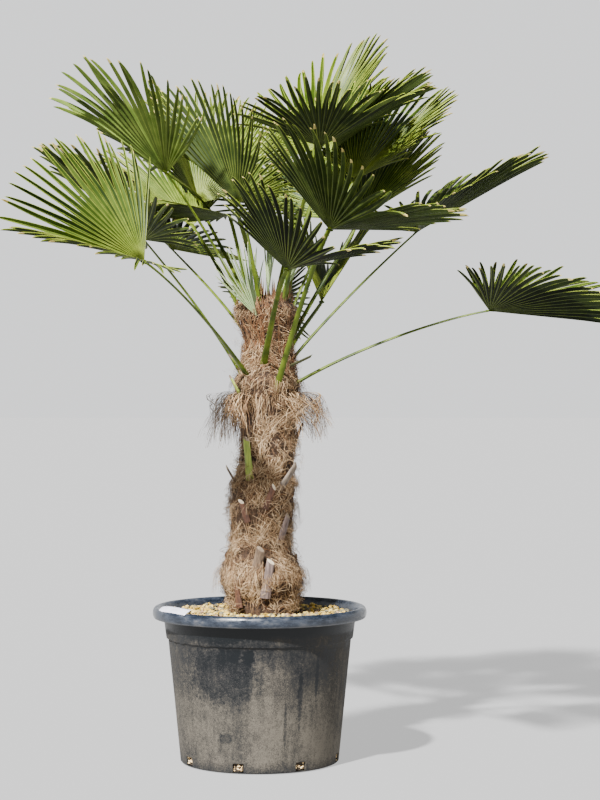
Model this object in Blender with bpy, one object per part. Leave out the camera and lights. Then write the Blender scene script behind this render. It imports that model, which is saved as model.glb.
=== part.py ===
"""A windmill palm about 1.9 m tall in its round black nursery pot, modelled in metres, +Z up.

The origin is the centre of the pot's flat underside. The plant is seen from -Y, with +X to the right.
Each fan leaf is two solids: a stalk that leaves the trunk, and a thin blade cut between its leaflets.
"""

import math

import bmesh
import bpy
from mathutils import Vector

UP = Vector((0, 0, 1))
CLEAR = 0.0003  # gap left between solids that touch

# Pot: radii and heights of its turned profile
POT_SIDES = 40
POT_HEIGHT = 0.386
POT_BASE_RADIUS = 0.1975
POT_BODY_TOP = (0.228, 0.306)
COLLAR_BOTTOM = (0.232, 0.309)
COLLAR_TOP = (0.240, 0.356)
RIM_RADIUS = 0.2665
RIM_CREST_RADIUS = 0.256
RIM_HEIGHT = 0.029
RIM_INNER_RADIUS = 0.246
RIM_CHAMFER = 0.004  # how far the rim's lower and upper edges are drawn in
RIM_EDGE = 0.010  # how high each of its rounded edges is
RIM_EDGE_DROP = 0.002
LIP_HEIGHT = POT_HEIGHT - 0.005  # the inner edge of the rim
NECK_HEIGHT = COLLAR_TOP[1] - 0.004  # where the inside starts to open out to the rim
WALL = 0.004
FLOOR = 0.005
BASE_ROUNDING = 0.008
INNER_CORNER_HEIGHT = 0.010
INNER_CORNER_INSET = 0.003
DRAIN_HOLES = 8
DRAIN_WIDTH = 0.027
DRAIN_BOTTOM = 0.004
DRAIN_TOP = 0.026
DRAIN_CUT = 0.030  # how deep the cut goes, across the wall
FIRST_DRAIN = math.radians(-104)

# Growing mix and its gravel
MIX_TOP = 0.368

# Blank tag that lies along the rim's crest: azimuth in degrees and radius of its two ends
TAG_ENDS = ((202, 0.260), (229, 0.258))
TAG_WIDTH = 0.022
TAG_TILT = math.radians(28)  # its outer edge droops over the rim
TAG_THICKNESS = 0.001
TAG_RISE = 0.0038  # height of its middle over the crest

# Trunk: height, radius and centre along X, read down the trunk's silhouette
TRUNK_SIDES = 24
TRUNK_FOOT = MIX_TOP + CLEAR
SKIRT_TOP = 0.900
TRUNK_TOP = 1.158
TRUNK_RINGS = (
    (TRUNK_FOOT, 0.088, 0.008),
    (0.408, 0.088, 0.008),
    (0.446, 0.105, 0.005),
    (0.470, 0.103, 0.004),
    (0.520, 0.080, 0.002),
    (0.565, 0.074, 0.002),
    (0.640, 0.080, 0.007),
    (0.690, 0.081, 0.009),
    (0.705, 0.073, 0.012),
    (0.760, 0.067, 0.020),
    (0.840, 0.071, 0.021),
    (SKIRT_TOP, 0.077, 0.020),
    (0.945, 0.084, 0.017),
    (0.965, 0.072, 0.019),
    (1.045, 0.058, 0.022),
    (1.095, 0.068, 0.018),
    (1.130, 0.074, 0.016),
    (1.150, 0.056, 0.018),
    (TRUNK_TOP, 0.046, 0.020),
)
TRUNK_LOBES = 0.035  # how far the fibre mat bulges, as a share of the radius
KEEP_OUT = 1.1 * CLEAR  # the leaf stalks are cut back this far off the trunk's skin

# Cut leaf bases on the trunk: azimuth in degrees, foot height, length, width, and in degrees how far each
# leans outward and sideways, anticlockwise round the trunk
STUBS = (
    (-84, 0.428, 0.078, 0.022, 6, 8),
    (-95, 0.488, 0.050, 0.024, 14, 12),
    (-126, 0.404, 0.062, 0.017, 8, -2),
    (-47, 0.556, 0.062, 0.020, 20, 4),
    (-119, 0.612, 0.040, 0.016, 14, -12),
    (-81, 0.645, 0.045, 0.016, 14, 20),
    (-122, 0.715, 0.090, 0.020, 5, -3),
    (-54, 0.688, 0.062, 0.018, 20, 28),
    (178, 0.700, 0.038, 0.018, 30, 0),
    (40, 0.440, 0.065, 0.020, 14, 10),
    (88, 0.520, 0.060, 0.020, 16, -8),
    (140, 0.445, 0.070, 0.020, 12, 0),
    (62, 0.650, 0.055, 0.020, 20, 12),
    (112, 0.735, 0.055, 0.020, 22, -10),
    (20, 0.790, 0.050, 0.018, 24, 0),
    (-150, 0.925, 0.038, 0.010, 22, -22),
    (-160, 0.980, 0.042, 0.012, 45, 0),
    (-35, 0.985, 0.062, 0.014, 66, 14),
)
STUB_THICKNESS = 0.009
STUB_ROOT = 0.030  # how deep a stub's lower end is sunk into the trunk
STUB_INSET = 0.004  # and how far its middle lies inside the trunk's mean radius
STUB_FLARE = 1.24  # its foot is this much wider than its cut end
STUB_THINNING = 0.8  # its cut end is this much thinner than its foot
STUB_CROWN = 0.6  # width of its outer face as a share of its back

# Fibre that hangs from the trunk at SKIRT_TOP: azimuths in whole trunk sides, reach out and drop
TRUNK_SIDE = 360 // TRUNK_SIDES
SKIRTS = {
    "fibre_left": (8 * TRUNK_SIDE, 16 * TRUNK_SIDE, 0.062, 0.125),
    "fibre_right": (-4 * TRUNK_SIDE, 2 * TRUNK_SIDE, 0.076, 0.110),
    "fibre_back": (3 * TRUNK_SIDE, 7 * TRUNK_SIDE, 0.060, 0.115),
}
SKIRT_THICKNESS = 0.005
SKIRT_CLEAR = 1.5 * CLEAR
SKIRT_FACING = (0.6, 0.8)  # out and up: the direction in which the flap is thick
SHORT_TUFT = 0.62  # every second tuft is this share of its neighbours
TUFT_UNEVENNESS = 0.14
TUFT_RHYTHM = 1.9
TUFT_PULL = 0.2  # how much a tuft's size changes its reach
SKIRT_PROFILE = ((0.0, 0.0), (0.55, 0.10), (1.0, 0.42), (1.06, 1.0))  # shares of the reach and the drop

# Fan leaves. A leaf is: stalk foot (azimuth in degrees, height), stalk arch as a share of its length,
# hub (x, y, z), midrib (turn and rise in degrees), roll, reach, half spread and fold in degrees.
LEAVES = {
    "left_high": ((205, 1.11), 0.02, (-0.23, -0.06, 1.46), (165, 35), -25, 0.36, 110, 20),
    "left_front": ((225, 0.95), 0.02, (-0.26, -0.37, 1.22), (-147, 12), 45, 0.38, 88, 35),
    "left_mid": ((185, 0.95), 0.02, (-0.30, 0.12, 1.31), (205, 40), 5, 0.37, 110, 10),
    "left_back": ((165, 1.03), 0.02, (-0.24, 0.30, 1.30), (140, 35), -15, 0.38, 100, 15),
    "left_dark": ((175, 1.08), 0.02, (-0.08, 0.07, 1.37), (115, 0), 0, 0.26, 90, 10),
    "front_left": ((255, 1.04), 0.01, (-0.05, -0.14, 1.38), (155, 40), -20, 0.34, 95, 40),
    "front_right": ((-80, 0.88), 0.01, (0.17, -0.30, 1.30), (-65, 5), 25, 0.36, 105, 30),
    "front_low": ((-105, 0.97), 0.01, (0.07, -0.38, 1.20), (-65, 5), 20, 0.30, 120, 35),
    "centre_dark": ((-40, 1.10), 0.01, (0.15, -0.11, 1.52), (-55, 15), -5, 0.35, 95, 20),
    "top": ((70, 1.11), 0.02, (0.14, 0.42, 1.58), (70, 55), 25, 0.38, 100, 15),
    "right_high_back": ((45, 1.07), 0.02, (0.18, 0.05, 1.53), (20, 35), -5, 0.33, 95, 25),
    "right_high": ((0, 1.06), 0.02, (0.24, 0.07, 1.46), (20, 45), -20, 0.35, 80, 20),
    "right_mid": ((35, 1.00), 0.02, (0.25, 0.12, 1.36), (85, 35), 15, 0.35, 100, 25),
    "right": ((-10, 0.98), 0.00, (0.40, 0.12, 1.33), (15, 30), 0, 0.40, 100, 14),
    "right_far": ((-20, 0.93), 0.03, (0.57, -0.05, 1.12), (-5, -6), -5, 0.38, 110, 25),
    "back_pale": ((130, 1.09), 0.02, (-0.17, 0.37, 1.43), (120, 60), -5, 0.37, 95, 40),
    "back_low": ((105, 0.94), 0.04, (0.03, 0.50, 1.18), (75, -20), 30, 0.34, 70, 55),
    "back_centre": ((85, 1.00), 0.03, (0.10, 0.44, 1.42), (55, 45), 0, 0.39, 100, 10),
    "back_right": ((60, 0.96), 0.03, (0.16, 0.50, 1.17), (85, 20), -5, 0.40, 65, 60),
    "back_left": ((125, 1.01), 0.03, (-0.19, 0.40, 1.37), (135, 40), 10, 0.36, 65, 20),
    "back_top": ((95, 1.12), 0.02, (-0.08, 0.04, 1.44), (120, 45), 5, 0.36, 60, 20),
}
BLADE_LEAFLETS = 20
BLADE_THICKNESS = 0.0042
BLADE_HUB = 0.005  # half width of the blade where the stalk meets it
BLADE_PLEAT = 0.004
BLADE_JOINED = 0.56  # share of a leaflet's length that is joined to its neighbours
BLADE_TAPER = 0.30  # how much shorter the outermost leaflets are
BLADE_JOIN_TAPER = 0.25  # and how much less of them is joined
BLADE_CREASE = 1.12  # a leaflet's crease ends this far past the notches beside it
STALK_RINGS = 9
STALK_HALF_WIDTHS = ((0.0, 0.014), (0.12, 0.010), (0.35, 0.0070), (1.0, 0.0046))
STALK_HALF_HEIGHTS = ((0.0, 0.007), (0.12, 0.006), (0.35, 0.0048), (1.0, 0.0030))
STALK_ROOT = 0.022  # how deep a stalk starts inside the trunk, before it is cut clear
STALK_SIDES = 6
STALK_STEEPEN = 0.12  # how much steeper than its chord it leaves the trunk
STALK_TURN = 0.35  # how far it has turned into the midrib before the hub
STALK_FOOT_PULL = 0.33  # lengths of the curve's two handles, as shares of the chord
STALK_HUB_PULL = 0.22

# Young leaves that stand closed in the crown: foot (x, y), tip (x, y, z) and half width
YOUNG = {
    "young_left": ((0.004, -0.022), (-0.070, -0.085, 1.300), 0.024),
    "young_spear": ((0.020, -0.004), (0.030, -0.020, 1.390), 0.012),
    "young_right": ((0.040, 0.004), (0.105, -0.010, 1.255), 0.012),
}
YOUNG_SIDES = 8
YOUNG_PLEAT = 0.72  # the inner folds lie at this share of the outer ones' radius
YOUNG_PROFILE = ((0.0, 0.35), (0.12, 0.55), (0.45, 1.0), (0.75, 0.85), (1.0, 0.12))


def clear_scene():
    for item in list(bpy.data.objects):
        bpy.data.objects.remove(item, do_unlink=True)


def make_material(name, colour, roughness, metallic=0.0):
    material = bpy.data.materials.new(name)
    material.use_nodes = True
    shader = material.node_tree.nodes["Principled BSDF"]
    shader.inputs["Base Color"].default_value = (*colour, 1.0)
    shader.inputs["Roughness"].default_value = roughness
    shader.inputs["Metallic"].default_value = metallic
    return material


def add_object(name, mesh_data, material):
    """An object from a bmesh, with its faces turned out."""
    bmesh.ops.recalc_face_normals(mesh_data, faces=mesh_data.faces)
    mesh = bpy.data.meshes.new(name)
    mesh_data.to_mesh(mesh)
    mesh_data.free()
    item = bpy.data.objects.new(name, mesh)
    bpy.context.scene.collection.objects.link(item)
    if material:
        mesh.materials.append(material)
    return item


def lathe(profile, sides):
    """A solid turned around Z from a closed profile of (radius, height). A radius of 0 is a pole."""
    shape = bmesh.new()
    rings = []
    for radius, height in profile:
        if radius == 0:
            rings.append([shape.verts.new((0, 0, height))] * sides)
            continue
        turns = [math.tau * k / sides for k in range(sides)]
        rings.append([shape.verts.new((radius * math.cos(a), radius * math.sin(a), height)) for a in turns])
    closed = profile[0][0] != 0
    pairs = list(zip(rings, rings[1:]))
    if closed:
        pairs.append((rings[-1], rings[0]))
    for low, high in pairs:
        for k in range(sides):
            corners = [low[k], low[(k + 1) % sides], high[(k + 1) % sides], high[k]]
            shape.faces.new(list(dict.fromkeys(corners)))
    return shape


def loft(rings):
    """A solid skin over rings of equal count, closed by a flat cap at each end."""
    shape = bmesh.new()
    rows = [[shape.verts.new(point) for point in ring] for ring in rings]
    count = len(rows[0])
    for low, high in zip(rows, rows[1:]):
        for k in range(count):
            shape.faces.new((low[k], low[(k + 1) % count], high[(k + 1) % count], high[k]))
    shape.faces.new(rows[0])
    shape.faces.new(rows[-1])
    return shape


def along_table(table, t):
    """The value at t of a table of (place, value), straight between its rows."""
    for (t0, v0), (t1, v1) in zip(table, table[1:]):
        if t <= t1:
            return v0 + (v1 - v0) * (t - t0) / (t1 - t0)
    return table[-1][1]


def cut(item, cutter, name):
    cutter.hide_render = True
    cutter.display_type = "WIRE"
    change = item.modifiers.new(name, "BOOLEAN")
    change.operation = "DIFFERENCE"
    change.solver = "EXACT"
    change.object = cutter


def make_pot(material):
    inner_base = POT_BASE_RADIUS - WALL
    rim_bottom = POT_HEIGHT - RIM_HEIGHT
    profile = (
        (0, 0),
        (POT_BASE_RADIUS - BASE_ROUNDING, 0),
        (POT_BASE_RADIUS, BASE_ROUNDING),
        POT_BODY_TOP,
        COLLAR_BOTTOM,
        COLLAR_TOP,
        (RIM_RADIUS - RIM_CHAMFER, rim_bottom),
        (RIM_RADIUS, rim_bottom + RIM_EDGE),
        (RIM_RADIUS, POT_HEIGHT - RIM_EDGE),
        (RIM_RADIUS - RIM_CHAMFER, POT_HEIGHT - RIM_EDGE_DROP),
        (RIM_CREST_RADIUS, POT_HEIGHT),
        (RIM_INNER_RADIUS, LIP_HEIGHT),
        (COLLAR_TOP[0] - WALL, NECK_HEIGHT),
        (POT_BODY_TOP[0] - WALL, POT_BODY_TOP[1]),
        (inner_base, INNER_CORNER_HEIGHT),
        (inner_base - INNER_CORNER_INSET, FLOOR),
        (0, FLOOR),
    )
    pot = add_object("pot", lathe(profile, POT_SIDES), material)
    middle = (DRAIN_TOP + DRAIN_BOTTOM) / 2
    for k in range(DRAIN_HOLES):
        angle = FIRST_DRAIN + math.tau * k / DRAIN_HOLES
        hole = bmesh.new()
        bmesh.ops.create_cube(hole, size=1.0)
        cutter = add_object(f"drain_cutter_{k}", hole, None)
        cutter.scale = (DRAIN_CUT, DRAIN_WIDTH, DRAIN_TOP - DRAIN_BOTTOM)
        cutter.rotation_euler.z = angle
        cutter.location = (POT_BASE_RADIUS * math.cos(angle), POT_BASE_RADIUS * math.sin(angle), middle)
        cut(pot, cutter, f"drain {k}")
    return pot


def make_mix(material):
    """Soil and gravel that fill the pot to just under its rim."""
    side_clear = WALL + CLEAR
    inner_base = POT_BASE_RADIUS - side_clear
    neck = (COLLAR_TOP[0] - side_clear, NECK_HEIGHT)
    lip = (RIM_INNER_RADIUS - CLEAR, LIP_HEIGHT)
    share = (MIX_TOP - neck[1]) / (lip[1] - neck[1])
    profile = (
        (0, FLOOR + CLEAR),
        (inner_base - INNER_CORNER_INSET, FLOOR + CLEAR),
        (inner_base, INNER_CORNER_HEIGHT + CLEAR),
        (POT_BODY_TOP[0] - side_clear, POT_BODY_TOP[1]),
        neck,
        (neck[0] + (lip[0] - neck[0]) * share, MIX_TOP),
        (0, MIX_TOP),
    )
    return add_object("growing_mix", lathe(profile, POT_SIDES), material)


def outward(azimuth):
    angle = math.radians(azimuth)
    return Vector((math.cos(angle), math.sin(angle), 0))


def make_tag(material):
    left, right = [outward(azimuth) * radius + UP * (POT_HEIGHT + TAG_RISE) for azimuth, radius in TAG_ENDS]
    near = (right - left).cross(UP).normalized()
    side = (near * math.cos(TAG_TILT) - UP * math.sin(TAG_TILT)) * TAG_WIDTH / 2
    up = UP * TAG_THICKNESS
    rings = [[end - side, end + side, end + side + up, end - side + up] for end in (left, right)]
    return add_object("tag", loft(rings), material)


def trunk_at(height):
    """Radius and centre along X of the trunk at a height."""
    radius = along_table([(z, r) for z, r, _ in TRUNK_RINGS], height)
    centre = along_table([(z, x) for z, _, x in TRUNK_RINGS], height)
    return radius, centre


def trunk_bulge(azimuth, height):
    angle = math.radians(azimuth)
    return 1 + TRUNK_LOBES * math.sin(3 * angle + 40 * height) * math.sin(5 * angle - 23 * height)


def trunk_ring(height, radius, centre):
    ring = []
    for k in range(TRUNK_SIDES):
        azimuth = k * TRUNK_SIDE
        reach = radius * trunk_bulge(azimuth, height)
        ring.append(Vector((centre, 0, height)) + outward(azimuth) * reach)
    return ring


def make_stub(azimuth, foot, length, width, lean, sweep):
    """A cut leaf base: a flat tapered strap that rises from the trunk, its lower end sunk in."""
    out = outward(azimuth)
    side = Vector((-out.y, out.x, 0))
    tilt, turn = math.radians(lean), math.radians(sweep)
    upright = UP * math.cos(tilt) + out * math.sin(tilt)
    rise = upright * math.cos(turn) + side * math.sin(turn)
    side = side * math.cos(turn) - upright * math.sin(turn)
    face = out * math.cos(tilt) - UP * math.sin(tilt)
    _, centre = trunk_at(foot)
    radius = max(trunk_at(foot)[0], trunk_at(foot + length / 2)[0])
    root = Vector((centre, 0, foot)) + out * (radius - STUB_INSET) - rise * STUB_ROOT
    tip = root + rise * (length + STUB_ROOT)
    rings = []
    for place, flare, thinning in ((root, STUB_FLARE, 1.0), (tip, 1.0, STUB_THINNING)):
        back = side * width * flare / 2
        front = back * STUB_CROWN
        low = place - face * STUB_THICKNESS * thinning
        high = place + face * STUB_THICKNESS * thinning / 2
        rings.append([low - back, low + back, high + front, high - front])
    return add_object("stub", loft(rings), None)


def make_trunk(material):
    """The trunk with its cut leaf bases, and a copy 0.3 mm fatter that cuts the leaf stalks clear of it."""
    rings = [trunk_ring(*row) for row in TRUNK_RINGS]
    trunk = add_object("trunk", loft(rings), material)
    stubs = bpy.data.collections.new("stubs")
    bpy.context.scene.collection.children.link(stubs)
    for row in STUBS:
        stub = make_stub(*row)
        bpy.context.scene.collection.objects.unlink(stub)
        stubs.objects.link(stub)
    join = trunk.modifiers.new("stubs", "BOOLEAN")
    join.operation = "UNION"
    join.solver = "EXACT"
    join.operand_type = "COLLECTION"
    join.collection = stubs
    bpy.context.view_layer.update()
    graph = bpy.context.evaluated_depsgraph_get()
    joined = bpy.data.meshes.new_from_object(trunk.evaluated_get(graph))
    trunk.modifiers.clear()
    trunk.data = joined
    for stub in list(stubs.objects):
        bpy.data.objects.remove(stub, do_unlink=True)
    bpy.data.collections.remove(stubs)
    fat_rings = [trunk_ring(z, r + KEEP_OUT, x) for z, r, x in TRUNK_RINGS]
    for point in fat_rings[-1]:
        point.z += CLEAR
    keep_out = add_object("trunk_keep_out", loft(fat_rings), None)
    return trunk, keep_out


def make_skirt(name, start, end, out_reach, drop, material):
    """A ragged flap of trunk fibre that leaves the trunk and hangs, thin, with tufts at its lower edge."""
    radius, centre = trunk_at(SKIRT_TOP)
    shape = bmesh.new()
    low, high = [], []
    for k, azimuth in enumerate(range(start, end + 1, TRUNK_SIDE)):
        out = outward(azimuth)
        size = 1.0 if k % 2 == 0 else SHORT_TUFT
        size *= 1 + TUFT_UNEVENNESS * (math.sin(TUFT_RHYTHM * k + start) - 1)
        skin = radius * trunk_bulge(azimuth, SKIRT_TOP) + SKIRT_CLEAR
        thick = (out * SKIRT_FACING[0] + UP * SKIRT_FACING[1]) * SKIRT_THICKNESS
        low_row, high_row = [], []
        for share_out, share_down in SKIRT_PROFILE:
            reach = skin + out_reach * share_out * (1 + TUFT_PULL * (size - 1))
            place = Vector((centre, 0, SKIRT_TOP - drop * share_down * size)) + out * reach
            low_row.append(shape.verts.new(place))
            high_row.append(shape.verts.new(place + thick))
        low.append(low_row)
        high.append(high_row)
    last = len(SKIRT_PROFILE) - 1
    for k in range(len(low) - 1):
        for j in range(last):
            shape.faces.new((low[k][j], low[k + 1][j], low[k + 1][j + 1], low[k][j + 1]))
            shape.faces.new((high[k][j], high[k][j + 1], high[k + 1][j + 1], high[k + 1][j]))
        shape.faces.new((low[k][0], high[k][0], high[k + 1][0], low[k + 1][0]))
        shape.faces.new((low[k][last], low[k + 1][last], high[k + 1][last], high[k][last]))
    for k in (0, -1):
        for j in range(last):
            shape.faces.new((low[k][j], low[k][j + 1], high[k][j + 1], high[k][j]))
    return add_object(name, shape, material)


def leaf_axes(turn, rise, roll):
    """A blade's own axes: along its midrib, across it, and up from its upper face."""
    f, e, r = math.radians(turn), math.radians(rise), math.radians(roll)
    along = Vector((math.cos(e) * math.cos(f), math.cos(e) * math.sin(f), math.sin(e)))
    flat_up = Vector((-math.sin(e) * math.cos(f), -math.sin(e) * math.sin(f), math.cos(e)))
    flat_side = Vector((-math.sin(f), math.cos(f), 0))
    up = flat_up * math.cos(r) + flat_side * math.sin(r)
    across = flat_side * math.cos(r) - flat_up * math.sin(r)
    return along, across, up


def ray(axes, angle, fold):
    """Direction of a leaflet at an angle from the midrib, with both halves of the fan folded up."""
    along, across, up = axes
    lift = abs(math.sin(angle)) * math.sin(fold)
    return (along * math.cos(angle) + across * math.sin(angle) * math.cos(fold) + up * lift).normalized()


def make_blade(name, hub, midrib, roll, reach, spread, fold, material):
    """A thin fan, pleated where its leaflets are joined, with a pointed free end to each leaflet."""
    axes = leaf_axes(*midrib, roll)
    along, across, up = axes
    half = math.radians(spread)
    fold = math.radians(fold)
    hub = Vector(hub)
    thick = up * BLADE_THICKNESS / 2
    shape = bmesh.new()

    def pair(point):
        return shape.verts.new(point + thick), shape.verts.new(point - thick)

    def leaflet_length(angle):
        return reach * (1 - BLADE_TAPER * (angle / half) ** 2)

    def joined_length(angle):
        return leaflet_length(angle) * BLADE_JOINED * (1 - BLADE_JOIN_TAPER * (angle / half) ** 2)

    hub_left = pair(hub - across * BLADE_HUB)
    hub_right = pair(hub + across * BLADE_HUB)
    notches, creases, tips = [], [], []
    for k in range(BLADE_LEAFLETS + 1):
        angle = -half + 2 * half * k / BLADE_LEAFLETS
        notches.append(pair(hub + ray(axes, angle, fold) * joined_length(angle) + up * BLADE_PLEAT))
    for k in range(BLADE_LEAFLETS):
        angle = -half + 2 * half * (k + 0.5) / BLADE_LEAFLETS
        direction = ray(axes, angle, fold)
        creases.append(pair(hub + direction * joined_length(angle) * BLADE_CREASE - up * BLADE_PLEAT))
        tips.append(pair(hub + direction * leaflet_length(angle)))

    def both_faces(*corners):
        shape.faces.new([corner[0] for corner in corners])
        shape.faces.new([corner[1] for corner in reversed(corners)])

    def edge_wall(a, b):
        shape.faces.new((a[0], a[1], b[1], b[0]))

    middle = BLADE_LEAFLETS // 2
    for k in range(BLADE_LEAFLETS):
        root = hub_left if k < middle else hub_right
        both_faces(root, notches[k], creases[k])
        both_faces(root, creases[k], notches[k + 1])
        both_faces(notches[k], tips[k], creases[k])
        both_faces(creases[k], tips[k], notches[k + 1])
        edge_wall(notches[k], tips[k])
        edge_wall(tips[k], notches[k + 1])
    both_faces(hub_left, notches[middle], hub_right)
    edge_wall(hub_right, hub_left)
    edge_wall(hub_left, notches[0])
    edge_wall(notches[-1], hub_right)
    return add_object(name, shape, material)


def make_stalk(name, foot, arch, hub, midrib, roll, keep_out, material):
    """A tapering stalk on one smooth curve, from inside the trunk to the back of its blade's hub."""
    azimuth, height = foot
    along, across, _ = leaf_axes(*midrib, roll)
    radius, centre = trunk_at(height)
    out = outward(azimuth)
    hub = Vector(hub) - along * CLEAR
    start = Vector((centre, 0, height)) + out * radius
    chord = hub - start
    length = chord.length
    lift = UP * arch * length
    # The stalk leaves the trunk steeply and turns into the blade's midrib over its last part.
    leave = (chord.normalized() + UP * STALK_STEEPEN).normalized()
    start -= out * STALK_ROOT
    control_a = start + leave * length * STALK_FOOT_PULL + lift
    arrive = chord.normalized().lerp(along, STALK_TURN).normalized()
    control_b = hub - arrive * length * STALK_HUB_PULL + lift / 2
    tangent_side = Vector((-out.y, out.x, 0))
    if tangent_side.dot(across) < 0:
        tangent_side = -tangent_side
    rings = []
    for k in range(STALK_RINGS + 1):
        t = k / STALK_RINGS
        s = 1 - t
        place = start * s**3 + control_a * 3 * s * s * t + control_b * 3 * s * t * t + hub * t**3
        heading = (
            (control_a - start) * s * s + (control_b - control_a) * 2 * s * t + (hub - control_b) * t * t
        ).normalized()
        if k == STALK_RINGS:
            heading = along
        side = tangent_side * s + across * t
        side = (side - heading * side.dot(heading)).normalized()
        up = side.cross(heading)
        half_width = along_table(STALK_HALF_WIDTHS, t)
        half_height = along_table(STALK_HALF_HEIGHTS, t)
        ring = []
        for n in range(STALK_SIDES):
            angle = math.tau * n / STALK_SIDES
            ring.append(place + side * half_width * math.cos(angle) + up * half_height * math.sin(angle))
        rings.append(ring)
    stalk = add_object(name, loft(rings), material)
    cut(stalk, keep_out, "clear of trunk")
    return stalk


def make_young(name, foot, tip, half_width, material):
    """A young leaf, still closed: a pleated spindle that stands on the trunk's tip."""
    foot = Vector((*foot, TRUNK_TOP + CLEAR))
    tip = Vector(tip)
    rings = []
    for t, wide in YOUNG_PROFILE:
        ring = []
        for n in range(YOUNG_SIDES):
            size = half_width * wide * (1.0 if n % 2 else YOUNG_PLEAT)
            ring.append(foot.lerp(tip, t) + outward(360 / YOUNG_SIDES * n) * size)
        rings.append(ring)
    return add_object(name, loft(rings), material)


def main():
    clear_scene()
    plastic = make_material("black_plastic", (0.045, 0.047, 0.052), 0.45)
    mix = make_material("gravel", (0.62, 0.52, 0.33), 0.9)
    tag = make_material("tag_white", (0.80, 0.80, 0.82), 0.4)
    bark = make_material("trunk_fibre_mat", (0.24, 0.16, 0.09), 0.95)
    fibre = make_material("loose_fibre", (0.45, 0.34, 0.22), 0.95)
    green = make_material("leaf_green", (0.07, 0.13, 0.035), 0.5)
    stem = make_material("stalk_green", (0.22, 0.30, 0.07), 0.5)
    pale = make_material("young_green", (0.30, 0.38, 0.19), 0.5)

    make_pot(plastic)
    make_mix(mix)
    make_tag(tag)
    _, keep_out = make_trunk(bark)
    for name, row in SKIRTS.items():
        make_skirt(name, *row, fibre)
    for name, (foot, arch, hub, midrib, roll, reach, spread, fold) in LEAVES.items():
        make_stalk(f"stalk_{name}", foot, arch, hub, midrib, roll, keep_out, stem)
        make_blade(f"blade_{name}", hub, midrib, roll, reach, spread, fold, green)
    for name, row in YOUNG.items():
        make_young(name, *row, pale)


main()
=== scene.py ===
"""Looks of a potted windmill palm: fan leaves, a trunk matted with fibre, gravel and a black nursery pot.

Metres, +Z up. The photo looks along +Y, with +X to its right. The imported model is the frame: each
piece here stands for one or more of its solids, or lies on one.
"""

import math
import random

import bmesh
import bpy
import numpy as np
from mathutils import Matrix, Vector, noise


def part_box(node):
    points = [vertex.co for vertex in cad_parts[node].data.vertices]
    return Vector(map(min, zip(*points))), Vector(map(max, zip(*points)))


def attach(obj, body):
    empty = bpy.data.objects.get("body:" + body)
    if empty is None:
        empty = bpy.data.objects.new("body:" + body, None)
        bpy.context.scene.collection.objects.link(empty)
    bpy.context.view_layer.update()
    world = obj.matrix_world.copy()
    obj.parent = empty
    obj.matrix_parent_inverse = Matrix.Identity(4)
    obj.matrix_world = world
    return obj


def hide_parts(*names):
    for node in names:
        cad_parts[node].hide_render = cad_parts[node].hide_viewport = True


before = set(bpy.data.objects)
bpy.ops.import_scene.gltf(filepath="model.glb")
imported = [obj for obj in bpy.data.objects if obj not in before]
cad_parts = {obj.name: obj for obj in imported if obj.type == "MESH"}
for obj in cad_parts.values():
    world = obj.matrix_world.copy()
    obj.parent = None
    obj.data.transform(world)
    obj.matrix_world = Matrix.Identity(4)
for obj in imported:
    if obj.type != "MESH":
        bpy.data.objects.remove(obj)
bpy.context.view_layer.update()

UP = Vector((0, 0, 1))
POT_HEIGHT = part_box("pot")[1].z
MIX_LOW, MIX_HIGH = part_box("growing_mix")
MIX_TOP = MIX_HIGH.z

# Pot profile, radius and height, repeated from the solid
POT_BASE_RADIUS = 0.1975
RIM_RADIUS = 0.2665
RIM_BOTTOM = POT_HEIGHT - 0.029
COLLAR_FOOT = 0.3075
WALL = 0.004
DRAIN_HOLES = 8
DRAIN_WIDTH = 0.027
DRAIN_BOTTOM = 0.004
DRAIN_TOP = 0.026
FIRST_DRAIN = math.radians(-104)
DRAIN_ROW = 3  # row of the pot's wall that holds the drain holes

# Trunk: height, radius and centre along X, repeated from the solid
TRUNK_TOP = 1.158
TRUNK_RINGS = (
    (MIX_TOP, 0.088, 0.008),
    (0.408, 0.088, 0.008),
    (0.446, 0.105, 0.005),
    (0.470, 0.103, 0.004),
    (0.520, 0.080, 0.002),
    (0.565, 0.074, 0.002),
    (0.640, 0.080, 0.007),
    (0.690, 0.081, 0.009),
    (0.705, 0.073, 0.012),
    (0.760, 0.067, 0.020),
    (0.840, 0.071, 0.021),
    (0.900, 0.077, 0.020),
    (0.945, 0.084, 0.017),
    (0.965, 0.072, 0.019),
    (1.045, 0.058, 0.022),
    (1.095, 0.068, 0.018),
    (1.130, 0.074, 0.016),
    (1.150, 0.056, 0.018),
    (TRUNK_TOP, 0.046, 0.020),
)
TRUNK_LOBES = 0.035

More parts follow.
